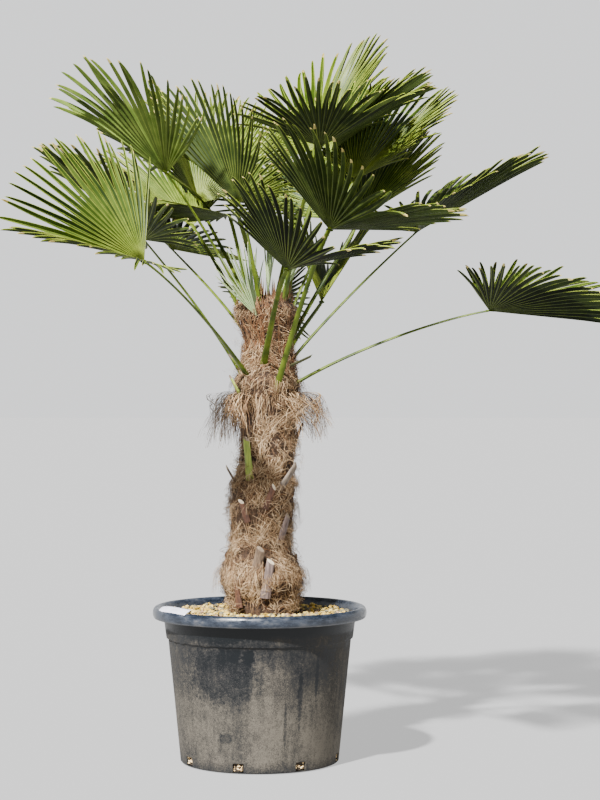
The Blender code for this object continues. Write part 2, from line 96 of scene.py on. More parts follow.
# Cut leaf bases: azimuth, foot height, length, width, outward lean and sideways sweep in degrees, colour
# and the colour of the cut
STUBS = (
    (-84, 0.428, 0.078, 0.022, 6, 8, "mauve", "pale"),
    (-95, 0.488, 0.050, 0.024, 14, 12, "tan", "brown"),
    (-126, 0.404, 0.062, 0.017, 8, -2, "red", "brown"),
    (-47, 0.556, 0.062, 0.020, 20, 4, "mauve", "brown"),
    (-119, 0.612, 0.040, 0.016, 14, -12, "red", "pale"),
    (-81, 0.645, 0.045, 0.016, 14, 20, "red", "pale"),
    (-122, 0.715, 0.090, 0.020, 5, -3, "green", "brown"),
    (-54, 0.688, 0.062, 0.018, 20, 28, "grey", "brown"),
    (178, 0.700, 0.038, 0.018, 30, 0, "tan", "pale"),
    (40, 0.440, 0.065, 0.020, 14, 10, "mauve", "pale"),
    (88, 0.520, 0.060, 0.020, 16, -8, "tan", "brown"),
    (140, 0.445, 0.070, 0.020, 12, 0, "red", "pale"),
    (62, 0.650, 0.055, 0.020, 20, 12, "tan", "pale"),
    (112, 0.735, 0.055, 0.020, 22, -10, "green", "brown"),
    (20, 0.790, 0.050, 0.018, 24, 0, "mauve", "pale"),
    (-150, 0.925, 0.038, 0.010, 22, -22, "green", "brown"),
    (-160, 0.980, 0.042, 0.012, 45, 0, "green", "brown"),
    (-35, 0.985, 0.062, 0.014, 66, 14, "olive", "olive"),
)
STUB_ROOT = 0.014  # how deep a leaf base's lower end is sunk

# Hollows in the fibre, where strands are few and painted dark as shade: azimuth, height and size
HOLLOWS = (
    (-112, 0.594, 0.013),
    (-98, 0.668, 0.013),
    (-40, 0.706, 0.014),
    (-33, 0.584, 0.015),
    (-52, 0.888, 0.018),
    (-96, 0.862, 0.014),
    (200, 0.800, 0.016),
    (-70, 0.540, 0.012),
    (100, 0.600, 0.015),
    (60, 0.840, 0.015),
    (160, 0.880, 0.015),
    (10, 0.660, 0.015),
)

# Fan leaves, repeated from the source: stalk foot (azimuth, height), stalk arch, hub, midrib (turn, rise),
# roll, reach, half spread and fold, then the leaf's tint, mostly a lit or shaded green painted for how light
# falls on the leaf
LEAVES = {
    "left_high": ((205, 1.11), 0.02, (-0.23, -0.06, 1.46), (165, 35), -25, 0.36, 110, 20, "sun"),
    "left_front": ((225, 0.95), 0.02, (-0.26, -0.37, 1.22), (-147, 12), 45, 0.38, 88, 35, "deep"),
    "left_mid": ((185, 0.95), 0.02, (-0.30, 0.12, 1.31), (205, 40), 5, 0.37, 110, 10, "deep"),
    "left_back": ((165, 1.03), 0.02, (-0.24, 0.30, 1.30), (140, 35), -15, 0.38, 100, 15, "deep"),
    "left_dark": ((175, 1.08), 0.02, (-0.08, 0.07, 1.37), (115, 0), 0, 0.26, 90, 10, "deep"),
    "front_left": ((255, 1.04), 0.01, (-0.05, -0.14, 1.38), (155, 40), -20, 0.34, 95, 40, "blue"),
    "front_right": ((-80, 0.88), 0.01, (0.17, -0.30, 1.30), (-65, 5), 25, 0.36, 105, 30, "deep"),
    "front_low": ((-105, 0.97), 0.01, (0.07, -0.38, 1.20), (-65, 5), 20, 0.30, 120, 35, "dark"),
    "centre_dark": ((-40, 1.10), 0.01, (0.15, -0.11, 1.52), (-55, 15), -5, 0.35, 95, 20, "deep"),
    "top": ((70, 1.11), 0.02, (0.14, 0.42, 1.58), (70, 55), 25, 0.38, 100, 15, "far"),
    "right_high_back": ((45, 1.07), 0.02, (0.18, 0.05, 1.53), (20, 35), -5, 0.33, 95, 25, "deep"),
    "right_high": ((0, 1.06), 0.02, (0.24, 0.07, 1.46), (20, 45), -20, 0.35, 80, 20, "deep"),
    "right_mid": ((35, 1.00), 0.02, (0.25, 0.12, 1.36), (85, 35), 15, 0.35, 100, 25, "deep"),
    "right": ((-10, 0.98), 0.00, (0.40, 0.12, 1.33), (15, 30), 0, 0.40, 100, 14, "shade"),
    "right_far": ((-20, 0.93), 0.03, (0.57, -0.05, 1.12), (-5, -6), -5, 0.38, 110, 25, "dark"),
    "back_pale": ((130, 1.09), 0.02, (-0.17, 0.37, 1.43), (120, 60), -5, 0.37, 95, 40, "blue"),
    "back_low": ((105, 0.94), 0.04, (0.03, 0.50, 1.18), (75, -20), 30, 0.34, 70, 55, "deep"),
    "back_centre": ((85, 1.00), 0.03, (0.10, 0.44, 1.42), (55, 45), 0, 0.39, 100, 10, "blue"),
    "back_right": ((60, 0.96), 0.03, (0.16, 0.50, 1.17), (85, 20), -5, 0.40, 65, 60, "deep"),
    "back_left": ((125, 1.01), 0.03, (-0.19, 0.40, 1.37), (135, 40), 10, 0.36, 65, 20, "deep"),
    "back_top": ((95, 1.12), 0.02, (-0.08, 0.04, 1.44), (120, 45), 5, 0.36, 60, 20, "blue"),
}
LEAFLETS = 40
LEAF_JOINED = 0.56  # share of a leaflet's length that is joined to its neighbours
YOUNG_JOINED = 0.13  # the same share in the young leaves
YOUNG_SWELL = 0.0019  # how much a young leaflet widens along its middle
LEAF_TAPER = 0.30  # how much shorter the outermost leaflets are
LEAF_THICKNESS = 0.0006
LEAF_START = 0.004  # the leaflets begin this far from the hub
LEAFLET_SLOPE = math.tan(math.radians(38))  # each leaflet is folded into a V with sides this steep
JOINED_ROWS = 5
FREE_ROWS = 9
RIB_WIDTH = 0.0016
EDGE_WIDTH = 0.0013
STALK_RINGS = 26
STALK_SIDES = 12
STALK_HALF_WIDTHS = ((0.0, 0.0105), (0.12, 0.0082), (0.35, 0.0064), (1.0, 0.0046))
STALK_HALF_HEIGHTS = ((0.0, 0.0062), (0.12, 0.0054), (0.35, 0.0046), (1.0, 0.0030))

# Young leaves, half open: foot, midrib (turn, rise), roll, reach, half spread, fold, leaflets
YOUNG = {
    "young_left": ((-0.005, -0.070, 1.105), (-128, 66), -64, 0.20, 33, 34, 13),
    "young_spear": ((0.020, -0.010, 1.150), (-63, 80), 10, 0.24, 12, 60, 9),
    "young_right": ((0.044, -0.004, 1.150), (-14, 62), 60, 0.13, 16, 50, 7),
}

# Patches on the pot's wall: azimuth, height, half width, half height, and how much mud they add or take
POT_BLOTS = (
    (-114, 0.240, 0.100, 0.075, -0.17),
    (-120, 0.330, 0.090, 0.014, -0.20),
    (-104, 0.286, 0.013, 0.016, -0.40),
    (-95, 0.284, 0.014, 0.018, -0.40),
    (-113, 0.085, 0.018, 0.012, -0.14),
    (-62, 0.190, 0.006, 0.080, -0.20),
    (-50, 0.230, 0.005, 0.060, -0.22),
    (-72, 0.120, 0.004, 0.060, -0.18),
    (-84, 0.140, 0.060, 0.060, 0.10),
    (60, 0.220, 0.060, 0.050, -0.18),
    (150, 0.150, 0.050, 0.060, 0.10),
)

# Blank tag along the rim's crest, repeated from the solid
TAG_ENDS = ((202, 0.260), (229, 0.258))
TAG_WIDTH = 0.022
TAG_TILT = math.radians(28)

# Fibre: strands in the mat, the fringes (height, reach, drop, strands) and the loose skirts' azimuths, reach
# and drop
MAT_STRANDS = 15000
RUST_FROM = 0.93  # above this height the fibre turns redder and darker
FRINGES = (
    (0.476, 0.015, 0.044, 800),
    (0.560, 0.009, 0.030, 380),
    (0.640, 0.011, 0.034, 420),
    (0.700, 0.013, 0.036, 520),
    (0.800, 0.009, 0.030, 380),
    (0.905, 0.022, 0.060, 620),
    (0.950, 0.014, 0.038, 420),
    (1.040, 0.007, 0.024, 260),
    (1.125, 0.010, 0.032, 420),
)
SKIRTS = {
    "fibre_left": (120, 240, 0.062, 0.125),
    "fibre_right": (-60, 30, 0.076, 0.110),
    "fibre_back": (45, 105, 0.060, 0.115),
}
SKIRT_TOP = 0.900

# Stage: half the floor's size, its own glow, the sky's strength at the horizon and overhead, and the suns'
# names, places, strengths and angles
FLOOR = 150
FLOOR_GLOW = 0.61
SKY_STRENGTHS = (1.28, 0.18)
SUNS = (("key", (-1.9, -3.4, 4.9), 18.0, 2.5), ("fill", (3.0, -3.4, 2.4), 0.4, 40))


# Materials


def shader_of(material):
    return material.node_tree.nodes["Principled BSDF"]


def start_material(name, roughness, specular=0.5):
    material = bpy.data.materials.new(name)
    material.use_nodes = True
    shader = shader_of(material)
    shader.inputs["Roughness"].default_value = roughness
    shader.inputs["Specular IOR Level"].default_value = specular
    return material


def math_node(owner, operation, *values):
    """A maths node over numbers and sockets, in the order of its inputs."""
    node = owner.node_tree.nodes.new("ShaderNodeMath")
    node.operation = operation
    for socket, value in zip(node.inputs, values):
        if isinstance(value, bpy.types.NodeSocket):
            owner.node_tree.links.new(value, socket)
        else:
            socket.default_value = value
    return node.outputs[0]


def map_range(owner, value, start, end, low, high, kind="LINEAR"):
    """The value, with start turned into low and end into high."""
    node = owner.node_tree.nodes.new("ShaderNodeMapRange")
    node.interpolation_type = kind
    for name, number in (("From Min", start), ("From Max", end), ("To Min", low), ("To Max", high)):
        node.inputs[name].default_value = number
    owner.node_tree.links.new(value, node.inputs["Value"])
    return node.outputs["Result"]


def height_socket(owner, source="Object"):
    """The Z coordinate of a surface point, or of a direction in the sky."""
    nodes, links = owner.node_tree.nodes, owner.node_tree.links
    place = nodes.new("ShaderNodeTexCoord")
    split = nodes.new("ShaderNodeSeparateXYZ")
    links.new(place.outputs[source], split.inputs["Vector"])
    return split.outputs["Z"]


def noise_field(material, source, stretch, scale, detail=5.0, roughness=0.6):
    """A noise texture read from object or UV coordinates, stretched by a factor on each axis."""
    nodes, links = material.node_tree.nodes, material.node_tree.links
    place = nodes.new("ShaderNodeTexCoord")
    mapping = nodes.new("ShaderNodeMapping")
    mapping.inputs["Scale"].default_value = stretch
    field = nodes.new("ShaderNodeTexNoise")
    field.inputs["Scale"].default_value = scale
    field.inputs["Detail"].default_value = detail
    field.inputs["Roughness"].default_value = roughness
    links.new(place.outputs[source], mapping.inputs["Vector"])
    links.new(mapping.outputs["Vector"], field.inputs["Vector"])
    return field.outputs["Fac"]


def paint(material, value, stops, socket="Base Color"):
    """Colours one of the shader's inputs by a ramp over value, from a list of (place, colour)."""
    node = material.node_tree.nodes.new("ShaderNodeValToRGB")
    elements = node.color_ramp.elements
    while len(elements) < len(stops):
        elements.new(0.5)
    for element, (place, colour) in zip(elements, stops):
        element.position = place
        element.color = (*colour, 1.0)
    material.node_tree.links.new(value, node.inputs["Fac"])
    material.node_tree.links.new(node.outputs["Color"], shader_of(material).inputs[socket])


def add_bump(material, height, strength, distance):
    nodes, links = material.node_tree.nodes, material.node_tree.links
    bump = nodes.new("ShaderNodeBump")
    bump.inputs["Strength"].default_value = strength
    bump.inputs["Distance"].default_value = distance
    links.new(height, bump.inputs["Height"])
    links.new(bump.outputs["Normal"], shader_of(material).inputs["Normal"])


def mottled(name, dark, light, scale, roughness, stretch=(1, 1, 1), bump=0.3, depth=0.001):
    """A surface that wanders between two colours, with a bump from the same noise."""
    material = start_material(name, roughness)
    field = noise_field(material, "Object", stretch, scale)
    paint(material, field, [(0.32, dark), (0.68, light)])
    add_bump(material, field, bump, depth)
    return material


def leaf_material(name, dark, light, roughness=0.42, specular=0.2):
    """Leaf surface: fine veins that run along each leaflet, over slow changes of green."""
    material = start_material(name, roughness, specular)
    veins = noise_field(material, "UV", (900, 12, 1), 1.0, 2.0)
    patches = noise_field(material, "Object", (1, 1, 1), 22.0, 3.0)
    mix = math_node(material, "MULTIPLY_ADD", veins, 0.45, math_node(material, "MULTIPLY", patches, 0.55))
    paint(material, mix, [(0.38, dark), (0.62, light)])
    add_bump(material, veins, 0.35, 0.0004)
    return material


def leaf_palette():
    """For each tint: three upper greens, rib, edge and tip, and then the same six for the underside."""
    rib = leaf_material("leaf_rib", (0.090, 0.130, 0.010), (0.190, 0.240, 0.032))
    edge = leaf_material("leaf_edge", (0.130, 0.175, 0.013), (0.300, 0.350, 0.052))
    tip = leaf_material("leaf_tip_dry", (0.220, 0.170, 0.045), (0.450, 0.380, 0.130), 0.7)
    under_rib = leaf_material("leaf_under_rib", (0.036, 0.052, 0.006), (0.105, 0.132, 0.020), 0.6, 0.1)
    under_edge = leaf_material("leaf_under_edge", (0.085, 0.115, 0.010), (0.220, 0.260, 0.040), 0.6, 0.1)
    # "sun" is the lit leaf green; "far", "deep" and "dark" are darker copies of it, painted shade for leaves
    # that hang in shade, and "blue" is the leaf's own glaucous green. The fourth pair of each tint is the
    # underside, which is painted near black as shade in "shade" and "dark".
    tints_with_painted_light = {
        "shade": (
            ((0.060, 0.105, 0.010), (0.150, 0.205, 0.026)),
            ((0.100, 0.150, 0.016), (0.210, 0.265, 0.042)),
            ((0.028, 0.060, 0.006), (0.080, 0.125, 0.016)),
            ((0.005, 0.009, 0.002), (0.018, 0.026, 0.005)),
        ),
        "sun": (
            ((0.044, 0.086, 0.004), (0.108, 0.165, 0.012)),
            ((0.080, 0.132, 0.007), (0.180, 0.236, 0.022)),
            ((0.016, 0.044, 0.002), (0.052, 0.094, 0.007)),
            ((0.036, 0.066, 0.007), (0.100, 0.142, 0.022)),
        ),
        "far": (
            ((0.020, 0.042, 0.002), (0.060, 0.092, 0.005)),
            ((0.040, 0.070, 0.003), (0.104, 0.140, 0.010)),
            ((0.008, 0.022, 0.001), (0.028, 0.052, 0.003)),
            ((0.024, 0.042, 0.002), (0.066, 0.094, 0.008)),
        ),
        "dark": (
            ((0.014, 0.032, 0.002), (0.042, 0.074, 0.006)),
            ((0.026, 0.052, 0.004), (0.072, 0.112, 0.010)),
            ((0.006, 0.015, 0.001), (0.018, 0.038, 0.003)),
            ((0.002, 0.004, 0.001), (0.008, 0.013, 0.001)),
        ),
        "blue": (
            ((0.018, 0.038, 0.006), (0.052, 0.084, 0.016)),
            ((0.036, 0.066, 0.010), (0.090, 0.128, 0.026)),
            ((0.007, 0.019, 0.003), (0.024, 0.048, 0.009)),
            ((0.010, 0.020, 0.004), (0.034, 0.052, 0.011)),
        ),
        "deep": (
            ((0.018, 0.040, 0.004), (0.052, 0.090, 0.011)),
            ((0.032, 0.062, 0.007), (0.086, 0.130, 0.018)),
            ((0.008, 0.020, 0.003), (0.024, 0.048, 0.007)),
            ((0.009, 0.017, 0.003), (0.032, 0.046, 0.008)),
        ),
    }
    palette = {}
    for tint, (first, second, third, under) in tints_with_painted_light.items():
        uppers = [leaf_material(f"leaf_{tint}_{k}", *pair) for k, pair in enumerate((first, second, third))]
        unders = []
        for k, share in enumerate((1.0, 1.4, 0.65)):
            dark, light = [tuple(c * share for c in colour) for colour in under]
            unders.append(leaf_material(f"leaf_{tint}_under_{k}", dark, light, 0.6, 0.1))
        palette[tint] = uppers + [rib, edge, tip] + unders + [under_rib, under_edge, tip]
    return palette


def blot(material, azimuth, height, wide, tall):
    """A patch on the pot's wall, 1 in its middle and 0 outside, with an outline broken up by noise."""
    nodes, links = material.node_tree.nodes, material.node_tree.links
    place = nodes.new("ShaderNodeTexCoord")
    mapping = nodes.new("ShaderNodeMapping")
    mapping.vector_type = "TEXTURE"
    mapping.inputs["Location"].default_value = outward(azimuth) * 0.22 + UP * height
    mapping.inputs["Rotation"].default_value = (0, 0, math.radians(azimuth))
    mapping.inputs["Scale"].default_value = (0.2, wide, tall)
    links.new(place.outputs["Object"], mapping.inputs["Vector"])
    distance = nodes.new("ShaderNodeVectorMath")
    distance.operation = "LENGTH"
    links.new(mapping.outputs["Vector"], distance.inputs[0])
    grain = noise_field(material, "Object", (1, 1, 1), 60.0, 5.0, 0.65)
    ragged = math_node(material, "MULTIPLY_ADD", grain, 1.6, distance.outputs["Value"])
    return map_range(material, ragged, 1.95, 1.45, 0.0, 1.0)


def pot_material():
    """Black plastic under a film of dried mud that thins in patches and runs, and is gone in scratches, with
    painted shade just below the rim.
    """
    material = start_material("pot_plastic_muddy", 0.6, 0.25)
    height = height_socket(material)
    total = map_range(material, height, COLLAR_FOOT, 0.06, -0.72, -0.50)
    terms = [
        (noise_field(material, "Object", (1, 1, 0.8), 8.5, 6.0, 0.68), 0.75),
        (noise_field(material, "Object", (19, 19, 1.1), 3.4, 5.0, 0.62), 0.35),
        (noise_field(material, "Object", (1, 1, 1), 420.0, 3.0, 0.7), 0.80),
        (noise_field(material, "Object", (1, 1, 1), 120.0, 4.0, 0.7), 0.45),
        (map_range(material, height, 0.030, 0.002, 0.0, -0.22), 1.0),
        # Painted shade: the collar is darkened just below the rim, where the rim's shadow falls.
        (map_range(material, height, RIM_BOTTOM - 0.030, RIM_BOTTOM - 0.010, 0.0, -0.40), 1.0),
    ]
    terms += [(blot(material, *row[:4]), row[4]) for row in POT_BLOTS]
    for value, weight in terms:
        total = math_node(material, "MULTIPLY_ADD", value, weight, total)
    colours = [
        (0.26, (0.003, 0.004, 0.005)),
        (0.44, (0.012, 0.012, 0.012)),
        (0.58, (0.036, 0.032, 0.026)),
        (0.80, (0.092, 0.080, 0.062)),
    ]
    paint(material, total, colours)
    paint(material, total, [(0.30, (0.36, 0.36, 0.36)), (0.55, (0.90, 0.90, 0.90))], "Roughness")
    add_bump(material, total, 0.5, 0.0010)
    return material


def rim_material():
    """The rim is handled and rained on: clean blue-black plastic, with a little mud along its lower edge."""
    material = start_material("pot_plastic_rim", 0.3, 0.5)
    wear = noise_field(material, "Object", (1, 1, 2.5), 24.0, 8.0, 0.7)
    mud = map_range(material, height_socket(material), RIM_BOTTOM + 0.006, RIM_BOTTOM - 0.001, 0.0, 0.34)
    total = math_node(material, "ADD", wear, mud)
    colours = [
        (0.40, (0.005, 0.008, 0.014)),
        (0.56, (0.020, 0.026, 0.038)),
        (0.74, (0.085, 0.085, 0.088)),
        (0.94, (0.300, 0.270, 0.210)),
    ]
    paint(material, total, colours)
    paint(material, total, [(0.45, (0.20, 0.20, 0.20)), (0.80, (0.70, 0.70, 0.70))], "Roughness")
    add_bump(material, wear, 0.25, 0.0008)
    return material


# Mesh helpers


def make_piece(name, points, faces, materials, nodes=(), face_slots=None, smooth=None):
    """A mesh piece that rides with the plant. It may stand for solids."""
    mesh = bpy.data.meshes.new(name)
    mesh.from_pydata([tuple(p) for p in points], [], faces)
    for material in materials:
        mesh.materials.append(material)
    if face_slots is not None:
        mesh.polygons.foreach_set("material_index", face_slots)
    if smooth is not None:
        mesh.shade_smooth()
        mesh.set_sharp_from_angle(angle=math.radians(smooth))
    mesh.update()
    piece = bpy.data.objects.new(name, mesh)
    bpy.context.scene.collection.objects.link(piece)
    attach(piece, "root")
    if nodes:
        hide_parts(*nodes)
    return piece


def outward(azimuth):
    angle = math.radians(azimuth)
    return Vector((math.cos(angle), math.sin(angle), 0))


def turn_from(degrees):
    """An angle brought to between -180 and 180 degrees."""
    return (degrees + 180) % 360 - 180


def spin(sides):
    """Angles of the corners of a closed ring, in radians."""
    return [math.tau * k / sides for k in range(sides)]


def at_angle(radius, angle, height):
    """A point at a radius and an angle, in radians, round the pot's axis."""
    return radius * math.cos(angle), radius * math.sin(angle), height


def tube_faces(rings, sides):
    """Faces between the rings of a closed tube, ring by ring."""
    faces = []
    for ring in range(rings):
        for k in range(sides):
            n = (k + 1) % sides
            faces.append((ring * sides + k, ring * sides + n, (ring + 1) * sides + n, (ring + 1) * sides + k))
    return faces


def last_ring(rings, sides):
    return tuple(range(rings * sides, (rings + 1) * sides))


def along_table(table, t):
    """The value at t of a table of (place, value), straight between its rows."""
    for (t0, v0), (t1, v1) in zip(table, table[1:]):
        if t <= t1:
            return v0 + (v1 - v0) * (t - t0) / (t1 - t0)
    return table[-1][1]


def rounded(points, rounds=2):
    """An open profile with its corners cut off, its two ends kept."""
    for _ in range(rounds):
        finer = [points[0]]
        for (ax, ay), (bx, by) in zip(points, points[1:]):
            finer.append((ax * 0.75 + bx * 0.25, ay * 0.75 + by * 0.25))
            finer.append((ax * 0.25 + bx * 0.75, ay * 0.25 + by * 0.75))
        finer.append(points[-1])
        points = finer
    return points


def thinning(width, steps, share):
    """Widths along a strand that loses a share of its width towards its tip."""
    return [width * (1 - share * n / (steps - 1)) for n in range(steps)]


class Strands:
    """Thin flat strands gathered by colour: for each its points, widths and flat directions."""

    def __init__(self, colours):
        self.groups = {name: ([], [], []) for name in colours}

    def add(self, name, points, flats, widths):
        paths, all_widths, sides = self.groups[name]
        paths.append([p[:] for p in points])
        all_widths.append(widths)
        sides.append([f[:] for f in flats])

    def make(self, prefix, fibres, nodes=None):
        """One mesh for each colour. nodes gives the solids that a colour's piece stands for."""
        for name, rows in self.groups.items():
            paths, widths, sides = [np.asarray(row) for row in rows]
            half = widths[:, :, None] / 2
            count, length, _ = paths.shape
            points = np.stack([paths - sides * half, paths + sides * half], axis=2).reshape(-1, 3)
            starts = (np.arange(count)[:, None] * length + np.arange(length - 1)[None, :]).reshape(-1) * 2
            faces = np.stack([starts, starts + 1, starts + 3, starts + 2], axis=1)
            solids = (nodes or {}).get(name, ())
            make_piece(f"{prefix}_{name}", points.tolist(), faces.tolist(), [fibres[name]], solids)


# Pot


def pot_angles():
    """Angles round the pot, with a step at each side of every drain hole."""
    half_hole = DRAIN_WIDTH / 2 / POT_BASE_RADIUS
    hole_steps, wall_steps = 4, 16
    angles, in_hole = [], []
    for k in range(DRAIN_HOLES):
        middle = FIRST_DRAIN + math.tau * k / DRAIN_HOLES
        gap = math.tau / DRAIN_HOLES - 2 * half_hole
        for n in range(hole_steps):
            angles.append(middle - half_hole + 2 * half_hole * n / hole_steps)
            in_hole.append(True)
        for n in range(wall_steps):
            angles.append(middle + half_hole + gap * n / wall_steps)
            in_hole.append(False)
    return angles, in_hole


def make_pot():
    rim_profile = rounded([
        (0.2400, RIM_BOTTOM + 0.002),
        (RIM_RADIUS - 0.0050, RIM_BOTTOM),
        (RIM_RADIUS - 0.0005, RIM_BOTTOM + 0.005),
        (RIM_RADIUS + 0.0008, (RIM_BOTTOM + POT_HEIGHT) / 2),
        (RIM_RADIUS - 0.0010, POT_HEIGHT - 0.006),
        (RIM_RADIUS - 0.0065, POT_HEIGHT),
        (RIM_RADIUS - 0.0120, POT_HEIGHT),
        (0.2465, POT_HEIGHT - 0.004),
        (0.2420, POT_HEIGHT - 0.016),
        (0.2385, MIX_TOP - 0.012),
    ])
    foot_radius = POT_BASE_RADIUS + 0.0022
    rows = [
        (0.0, 0.0),
        (POT_BASE_RADIUS - 0.009, 0.0),
        (POT_BASE_RADIUS - 0.003, 0.0012),
        (POT_BASE_RADIUS, DRAIN_BOTTOM),
        (foot_radius, DRAIN_TOP),
    ]
    wall_rows = 24
    for n in range(1, wall_rows + 1):
        t = n / wall_rows
        radius = foot_radius + (0.228 - POT_BASE_RADIUS - 0.0022) * t
        rows.append((radius, DRAIN_TOP + (COLLAR_FOOT - 0.0015 - DRAIN_TOP) * t))
    rows += [
        (0.2292, COLLAR_FOOT),
        (0.2322, COLLAR_FOOT + 0.0012),
        (0.2332, COLLAR_FOOT + 0.004),
        (0.2368, COLLAR_FOOT + 0.030),
        (0.2396, RIM_BOTTOM - 0.002),
        (0.2400, RIM_BOTTOM + 0.006),
    ]
    angles, in_hole = pot_angles()
    sides = len(angles)
    points = []
    for radius, height in rows:
        for angle in angles:
            x, y = math.cos(angle), math.sin(angle)
            wave = noise.noise(Vector((x * 3, y * 3, height * 9)))
            ripple = noise.noise(Vector((x * 14, y * 14, 5.0)))
            at_collar = math.exp(-(((height - COLLAR_FOOT) / 0.004) ** 2))
            reach = radius * (1 + 0.0025 * wave) if radius > 0.2 else radius
            points.append((reach * x, reach * y, height + 0.0022 * ripple * at_collar))
    faces = tube_faces(len(rows) - 1, sides)
    faces = [f for n, f in enumerate(faces) if not (n // sides == DRAIN_ROW and in_hole[n % sides])]
    add_hole_walls(points, faces, in_hole, rows)
    make_piece("pot_body", points, faces, [pot_material()], ["pot"], smooth=35)
    make_rim(rim_profile)


def add_hole_walls(points, faces, in_hole, rows):
    """The cut edge of each drain hole, as deep as the wall is thick."""
    sides = len(in_hole)
    for k in range(sides):
        if not in_hole[k]:
            continue
        n = (k + 1) % sides
        ring = []
        for row, index in ((DRAIN_ROW, k), (DRAIN_ROW, n), (DRAIN_ROW + 1, n), (DRAIN_ROW + 1, k)):
            outer = row * sides + index
            radius, height = rows[row]
            shrink = (radius - WALL) / radius
            ring.append((outer, len(points)))
            points.append((points[outer][0] * shrink, points[outer][1] * shrink, height))
        edges = [(0, 1), (2, 3)]
        if not in_hole[k - 1]:
            edges.append((3, 0))
        if not in_hole[n]:
            edges.append((1, 2))
        faces += [(*ring[a], *reversed(ring[b])) for a, b in edges]


def make_rim(profile):
    sides = 160
    points = [at_angle(radius, angle, height) for radius, height in profile for angle in spin(sides)]
    faces = tube_faces(len(profile) - 1, sides)
    make_piece("pot_rim", points, faces, [rim_material()], smooth=60)


# Gravel


def stone_shape():
    """Points and faces of a small round stone of unit radius."""
    shape = bmesh.new()
    bmesh.ops.create_icosphere(shape, subdivisions=1, radius=1.0)
    points = np.array([v.co[:] for v in shape.verts])
    faces = np.array([[v.index for v in f.verts] for f in shape.faces])
    shape.free()
    return points, faces


def scatter_stones(name, places, sizes, seed, material, nodes=()):
    rng = np.random.default_rng(seed)
    base, faces = stone_shape()
    all_points, all_faces = [], []
    for n, (place, size) in enumerate(zip(places, sizes)):
        lumps = 1 + rng.normal(0, 0.10, len(base))
        squash = np.array([1.0, rng.uniform(0.7, 0.95), rng.uniform(0.5, 0.75)])
        tilt = Matrix.Rotation(rng.uniform(-0.5, 0.5), 3, "X")
        tilt = tilt @ Matrix.Rotation(rng.uniform(0, math.tau), 3, "Z")
        all_points.append((base * lumps[:, None] * squash * size / 2) @ np.array(tilt) + place)
        all_faces.append(faces + n * len(base))
    points, faces = np.concatenate(all_points), np.concatenate(all_faces)
    return make_piece(name, points.tolist(), faces.tolist(), [material], nodes, smooth=50)


def make_gravel():
    """Rounded gravel in two loose layers over the mix, dealt into four colours."""
    rng = np.random.default_rng(11)
    inner, outer = 0.080, 0.2380
    spacing = 0.0118
    colours = {
        "cream": ((0.34, 0.24, 0.06), (0.66, 0.50, 0.16), 0.36),
        "yellow": ((0.30, 0.18, 0.018), (0.56, 0.37, 0.06), 0.32),
        "rose": ((0.18, 0.10, 0.05), (0.38, 0.25, 0.14), 0.14),
        "grey": ((0.05, 0.045, 0.025), (0.20, 0.175, 0.105), 0.18),
    }
    places = {name: [] for name in colours}
    sizes = {name: [] for name in colours}
    names = list(colours)
    weights = [colours[name][2] for name in names]
    steps = int(2 * outer / spacing)
    for layer, lift in ((0, 0.000), (1, 0.0050)):
        for i in range(steps):
            for j in range(steps):
                x = -outer + (i + 0.5 * (j % 2)) * spacing + rng.uniform(-0.004, 0.004)
                y = -outer + j * spacing + rng.uniform(-0.004, 0.004)
                size = rng.uniform(0.009, 0.0160)
                if not inner < math.hypot(x - 0.008, y) or math.hypot(x, y) > outer - size / 2:
                    continue
                bare = 0.20 + 0.6 * noise.noise(Vector((x * 16, y * 16, 9.0))) + (0.12 if x > 0.08 else 0.0)
                if rng.uniform() < (bare + 0.55 if layer else bare):
                    continue
                heap = 0.002 * noise.noise(Vector((x * 22, y * 22, 3.0)))
                kind = names[rng.choice(len(names), p=weights)]
                places[kind].append((x, y, MIX_TOP - 0.001 + lift + heap))
                sizes[kind].append(size)
    for n, (name, (dark, light, _)) in enumerate(colours.items()):
        stone = mottled(f"gravel_{name}", dark, light, 90.0, 0.8, bump=0.4, depth=0.001)
        solid = ["growing_mix"] if n == 0 else []
        scatter_stones(f"gravel_{name}", places[name], sizes[name], 20 + n, stone, solid)


def make_soil():
    """Dark damp mix that shows between the stones and behind the drain holes."""
    dark, light = (0.008, 0.005, 0.003), (0.040, 0.026, 0.014)
    soil = mottled("soil_damp", dark, light, 60.0, 0.95, bump=0.8, depth=0.003)
    sides, rows = 96, 14
    points = [(0, 0, MIX_TOP - 0.004)]
    for row in range(1, rows + 1):
        radius = 0.2395 * row / rows
        for angle in spin(sides):
            lump = 0.0025 * noise.noise(Vector(at_angle(radius * 40, angle, 0)))
            points.append(at_angle(radius, angle, MIX_TOP - 0.004 + lump))
    faces = [(0, 1 + k, 1 + (k + 1) % sides) for k in range(sides)]
    for a, b, c, d in tube_faces(rows - 1, sides):
        faces.append((a + 1, d + 1, c + 1, b + 1))
    make_piece("soil_top", points, faces, [soil], smooth=80)
    reach = POT_BASE_RADIUS - WALL - 0.0012
    heights = (MIX_LOW.z, DRAIN_TOP + 0.01)
    wall = [at_angle(reach, angle, height) for height in heights for angle in spin(sides)]
    make_piece("soil_foot", wall, tube_faces(1, sides), [soil], smooth=80)


def make_drain_stones():
    """Gravel and bits of bark that fill the drain holes, just inside the pot's wall."""
    rng = np.random.default_rng(5)
    places, sizes = [], []
    for k in range(DRAIN_HOLES):
        middle = FIRST_DRAIN + math.tau * k / DRAIN_HOLES
        for _ in range(15):
            angle = middle + rng.uniform(-0.062, 0.062)
            reach = POT_BASE_RADIUS - WALL - rng.uniform(-0.001, 0.003)
            places.append((reach * math.cos(angle), reach * math.sin(angle), rng.uniform(0.007, 0.023)))
            sizes.append(rng.uniform(0.005, 0.0095))
    tan = mottled("drain_gravel", (0.34, 0.18, 0.06), (0.78, 0.62, 0.34), 160.0, 0.85, bump=0.4)
    scatter_stones("drain_stones", places, sizes, 6, tan)


